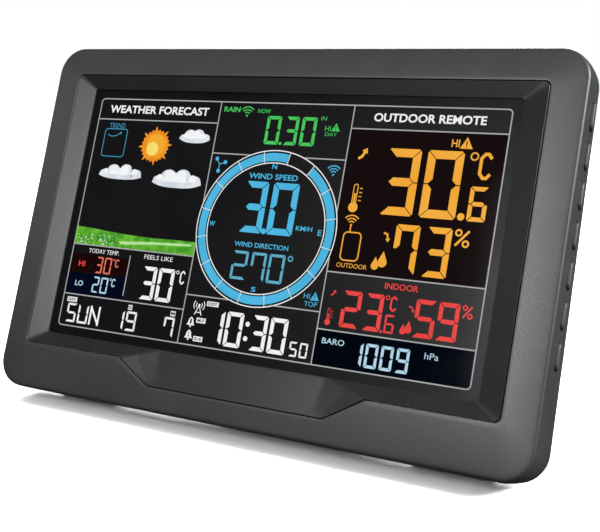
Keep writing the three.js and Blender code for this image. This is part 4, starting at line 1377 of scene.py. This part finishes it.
TINTS = (   # the lit backgrounds of some fields: colour, u0, u1, v0, v1
    ("outdoor", 0x160d0d, 26.4, 79.8, -12.6, 35.3), ("baro", 0x02060f, 26.4, 79.8, -43.2, -31.8),
    ("low", 0x04081c, -79.8, -53.4, -31.4, -23.4), ("high", 0x1a0606, -79.8, -53.4, -23.2, -16.2))
STEP_LIGHTER = 0x010101
PALETTE = {   # darker and lighter shade of each ink, and the layer it lies in
    "white": (0xf2f2f2, 0xffffff, 0), "grid": (0xa8a8a8, 0xb6b6b6, 0),
    "green": (0x46c25a, 0x50cf64, 0), "blue": (0x4ab2de, 0x54bee8, 0),
    "dim_blue": (0x5aaac4, 0x66b6d0, 0), "amber": (0xf5a936, 0xfbb548, 0),
    "red": (0xe84440, 0xf04e4a, 0), "ice": (0xb2d6ea, 0xbce0f2, 0),
    "salmon": (0xe2725e, 0xea7c68, 0), "trend": (0x3e8fb0, 0x4698ba, 0),
    "paper": (0xe8e8e8, 0xf0f0f0, 0), "cloud": (0xd2d9e2, 0xeef1f5, 0),
    "cloud_light": (0xf2f5f8, 0xffffff, 1), "sun": (0xf08a1c, 0xf7a02c, 0),
    "sun_core": (0xf59c24, 0xfab434, 1), "sun_glow": (0xfcd85a, 0xfdea80, 2),
    "meadow": (0x2f8a24, 0x74c43a, 0), "meadow_light": (0xa6e08c, 0xc4ecaa, 1),
    "flower": (0xe8f0e8, 0xffffff, 1), "black": (0x060606, 0x0a0a0a, 2),
}
MOTTLE_MM = {"cloud": 4, "cloud_light": 3, "meadow": 3, "meadow_light": 3, "sun": 3}
BEHIND = -2             # layer of the tints, under every ink


def make_print():
    for name, colour, *box in TINTS:
        look = lit(f"tint_{name}", colour, colour + STEP_LIGHTER)
        tint = Ink(f"lcd_tint_{name}", look, BEHIND)
        tint.box(*box)
        tint.make()
    inks = {}
    for name, (dark, light, layer) in PALETTE.items():
        look = lit(f"lit_{name}", dark, light, MOTTLE_MM.get(name, PLAIN_MOTTLE_MM))
        inks[name] = Ink(f"lcd_{name}", look, layer)
    grid(inks["grid"])
    forecast_block(inks)
    wind_block(inks)
    outdoor_block(inks)
    indoor_block(inks)
    for ink in inks.values():
        ink.make()


# -------- stage


FLOOR_HALF = 3.0
FLOOR_SUN = 4.0
SUN_SPREAD_DEG = 100
FILL = 0.06              # strength of the surroundings, which the camera sees as plain white
MIDDLE = Vector((0, 0, 0.07))
LAMPS = (   # name, position, width, height, watts
    ("key_light", (1.25, -0.04, 0.9), 0.5, 0.5, 60),
    ("front_card", (-0.09, -0.87, 0.5), 0.3, 0.3, 8),
    ("left_card", (-0.95, -0.4, 0.45), 0.3, 0.3, 0.8),
    ("back_light", (-0.3, 0.9, 0.5), 0.7, 0.5, 14),
)
LENS_MM = 62.5
SENSOR_MM = 36
SHIFT = (0.0047, 0.0117)
EYE = (0.1780, -0.3069, 0.1287)
LOOK_DOWN_DEG = 11.96
LOOK_LEFT_DEG = 28.98


def make_floor():
    """A pale sheet that throws no light back on the case."""
    paper = Surface("floor_paper", 0.9, specular=0.2)
    paper.shader.inputs["Base Color"].default_value = linear(0xf4f4f4)
    mesh = bpy.data.meshes.new("floor")
    mesh.from_pydata([(u * FLOOR_HALF, v * FLOOR_HALF, 0)
                      for u, v in ((-1, -1), (1, -1), (1, 1), (-1, 1))], [], [(0, 1, 2, 3)])
    mesh.materials.append(paper.material)
    floor = linked("floor", mesh)
    floor.visible_diffuse = floor.visible_glossy = False
    return floor


def softbox(name, position, width, height, watts):
    light = bpy.data.lights.new(name, "AREA")
    light.shape = "RECTANGLE"
    light.size, light.size_y, light.energy = width, height, watts
    lamp = linked(name, light)
    lamp.location = position
    lamp.rotation_mode = "QUATERNION"
    lamp.rotation_quaternion = (MIDDLE - Vector(position)).to_track_quat("-Z", "Y")


def wash(floor):
    """An even light from above that only the floor receives."""
    sun = bpy.data.lights.new("floor_wash", "SUN")
    sun.energy, sun.angle = FLOOR_SUN, math.radians(SUN_SPREAD_DEG)
    only_floor = bpy.data.collections.new("floor_only")
    only_floor.objects.link(floor)
    linked("floor_wash", sun).light_linking.receiver_collection = only_floor


def make_world():
    world = bpy.data.worlds.new("studio")
    world.use_nodes = True
    nodes, links = world.node_tree.nodes, world.node_tree.links
    background = nodes["Background"]
    background.inputs["Color"].default_value = (1, 1, 1, 1)
    seen = nodes.new("ShaderNodeMapRange")
    seen.inputs["To Min"].default_value = FILL
    seen.inputs["To Max"].default_value = 1.0
    links.new(nodes.new("ShaderNodeLightPath").outputs["Is Camera Ray"], seen.inputs["Value"])
    links.new(seen.outputs["Result"], background.inputs["Strength"])
    bpy.context.scene.world = world
    bpy.context.scene.view_settings.view_transform = "Standard"


def make_camera():
    camera = bpy.data.cameras.new("camera")
    camera.sensor_width, camera.lens = SENSOR_MM, LENS_MM
    camera.shift_x, camera.shift_y = SHIFT
    eye = linked("camera", camera)
    eye.location = EYE
    eye.rotation_euler = (math.radians(90 - LOOK_DOWN_DEG), 0, math.radians(LOOK_LEFT_DEG))
    bpy.context.scene.camera = eye


dress_frame()
make_front_frame()
make_bezel()
make_window()
for key_index in range(KEY_COUNT):
    make_key(key_index)
make_rear_cover()
make_door()
make_kickstand()
make_stand_pad()
for foot_side, foot_name in ((-1, "foot_left"), (1, "foot_right")):
    make_foot(foot_side, foot_name)
for screw_index, (screw_u, screw_v) in enumerate(CASE_SCREWS):
    make_screw_post(screw_index + 1, screw_u, screw_v)
    make_case_screw(screw_index + 1, screw_u, screw_v)
make_jack()
for cell_number in (1, 2, 3):
    make_cell(cell_number)
make_print()
wash(make_floor())
for lamp_settings in LAMPS:
    softbox(*lamp_settings)
make_world()
make_camera()
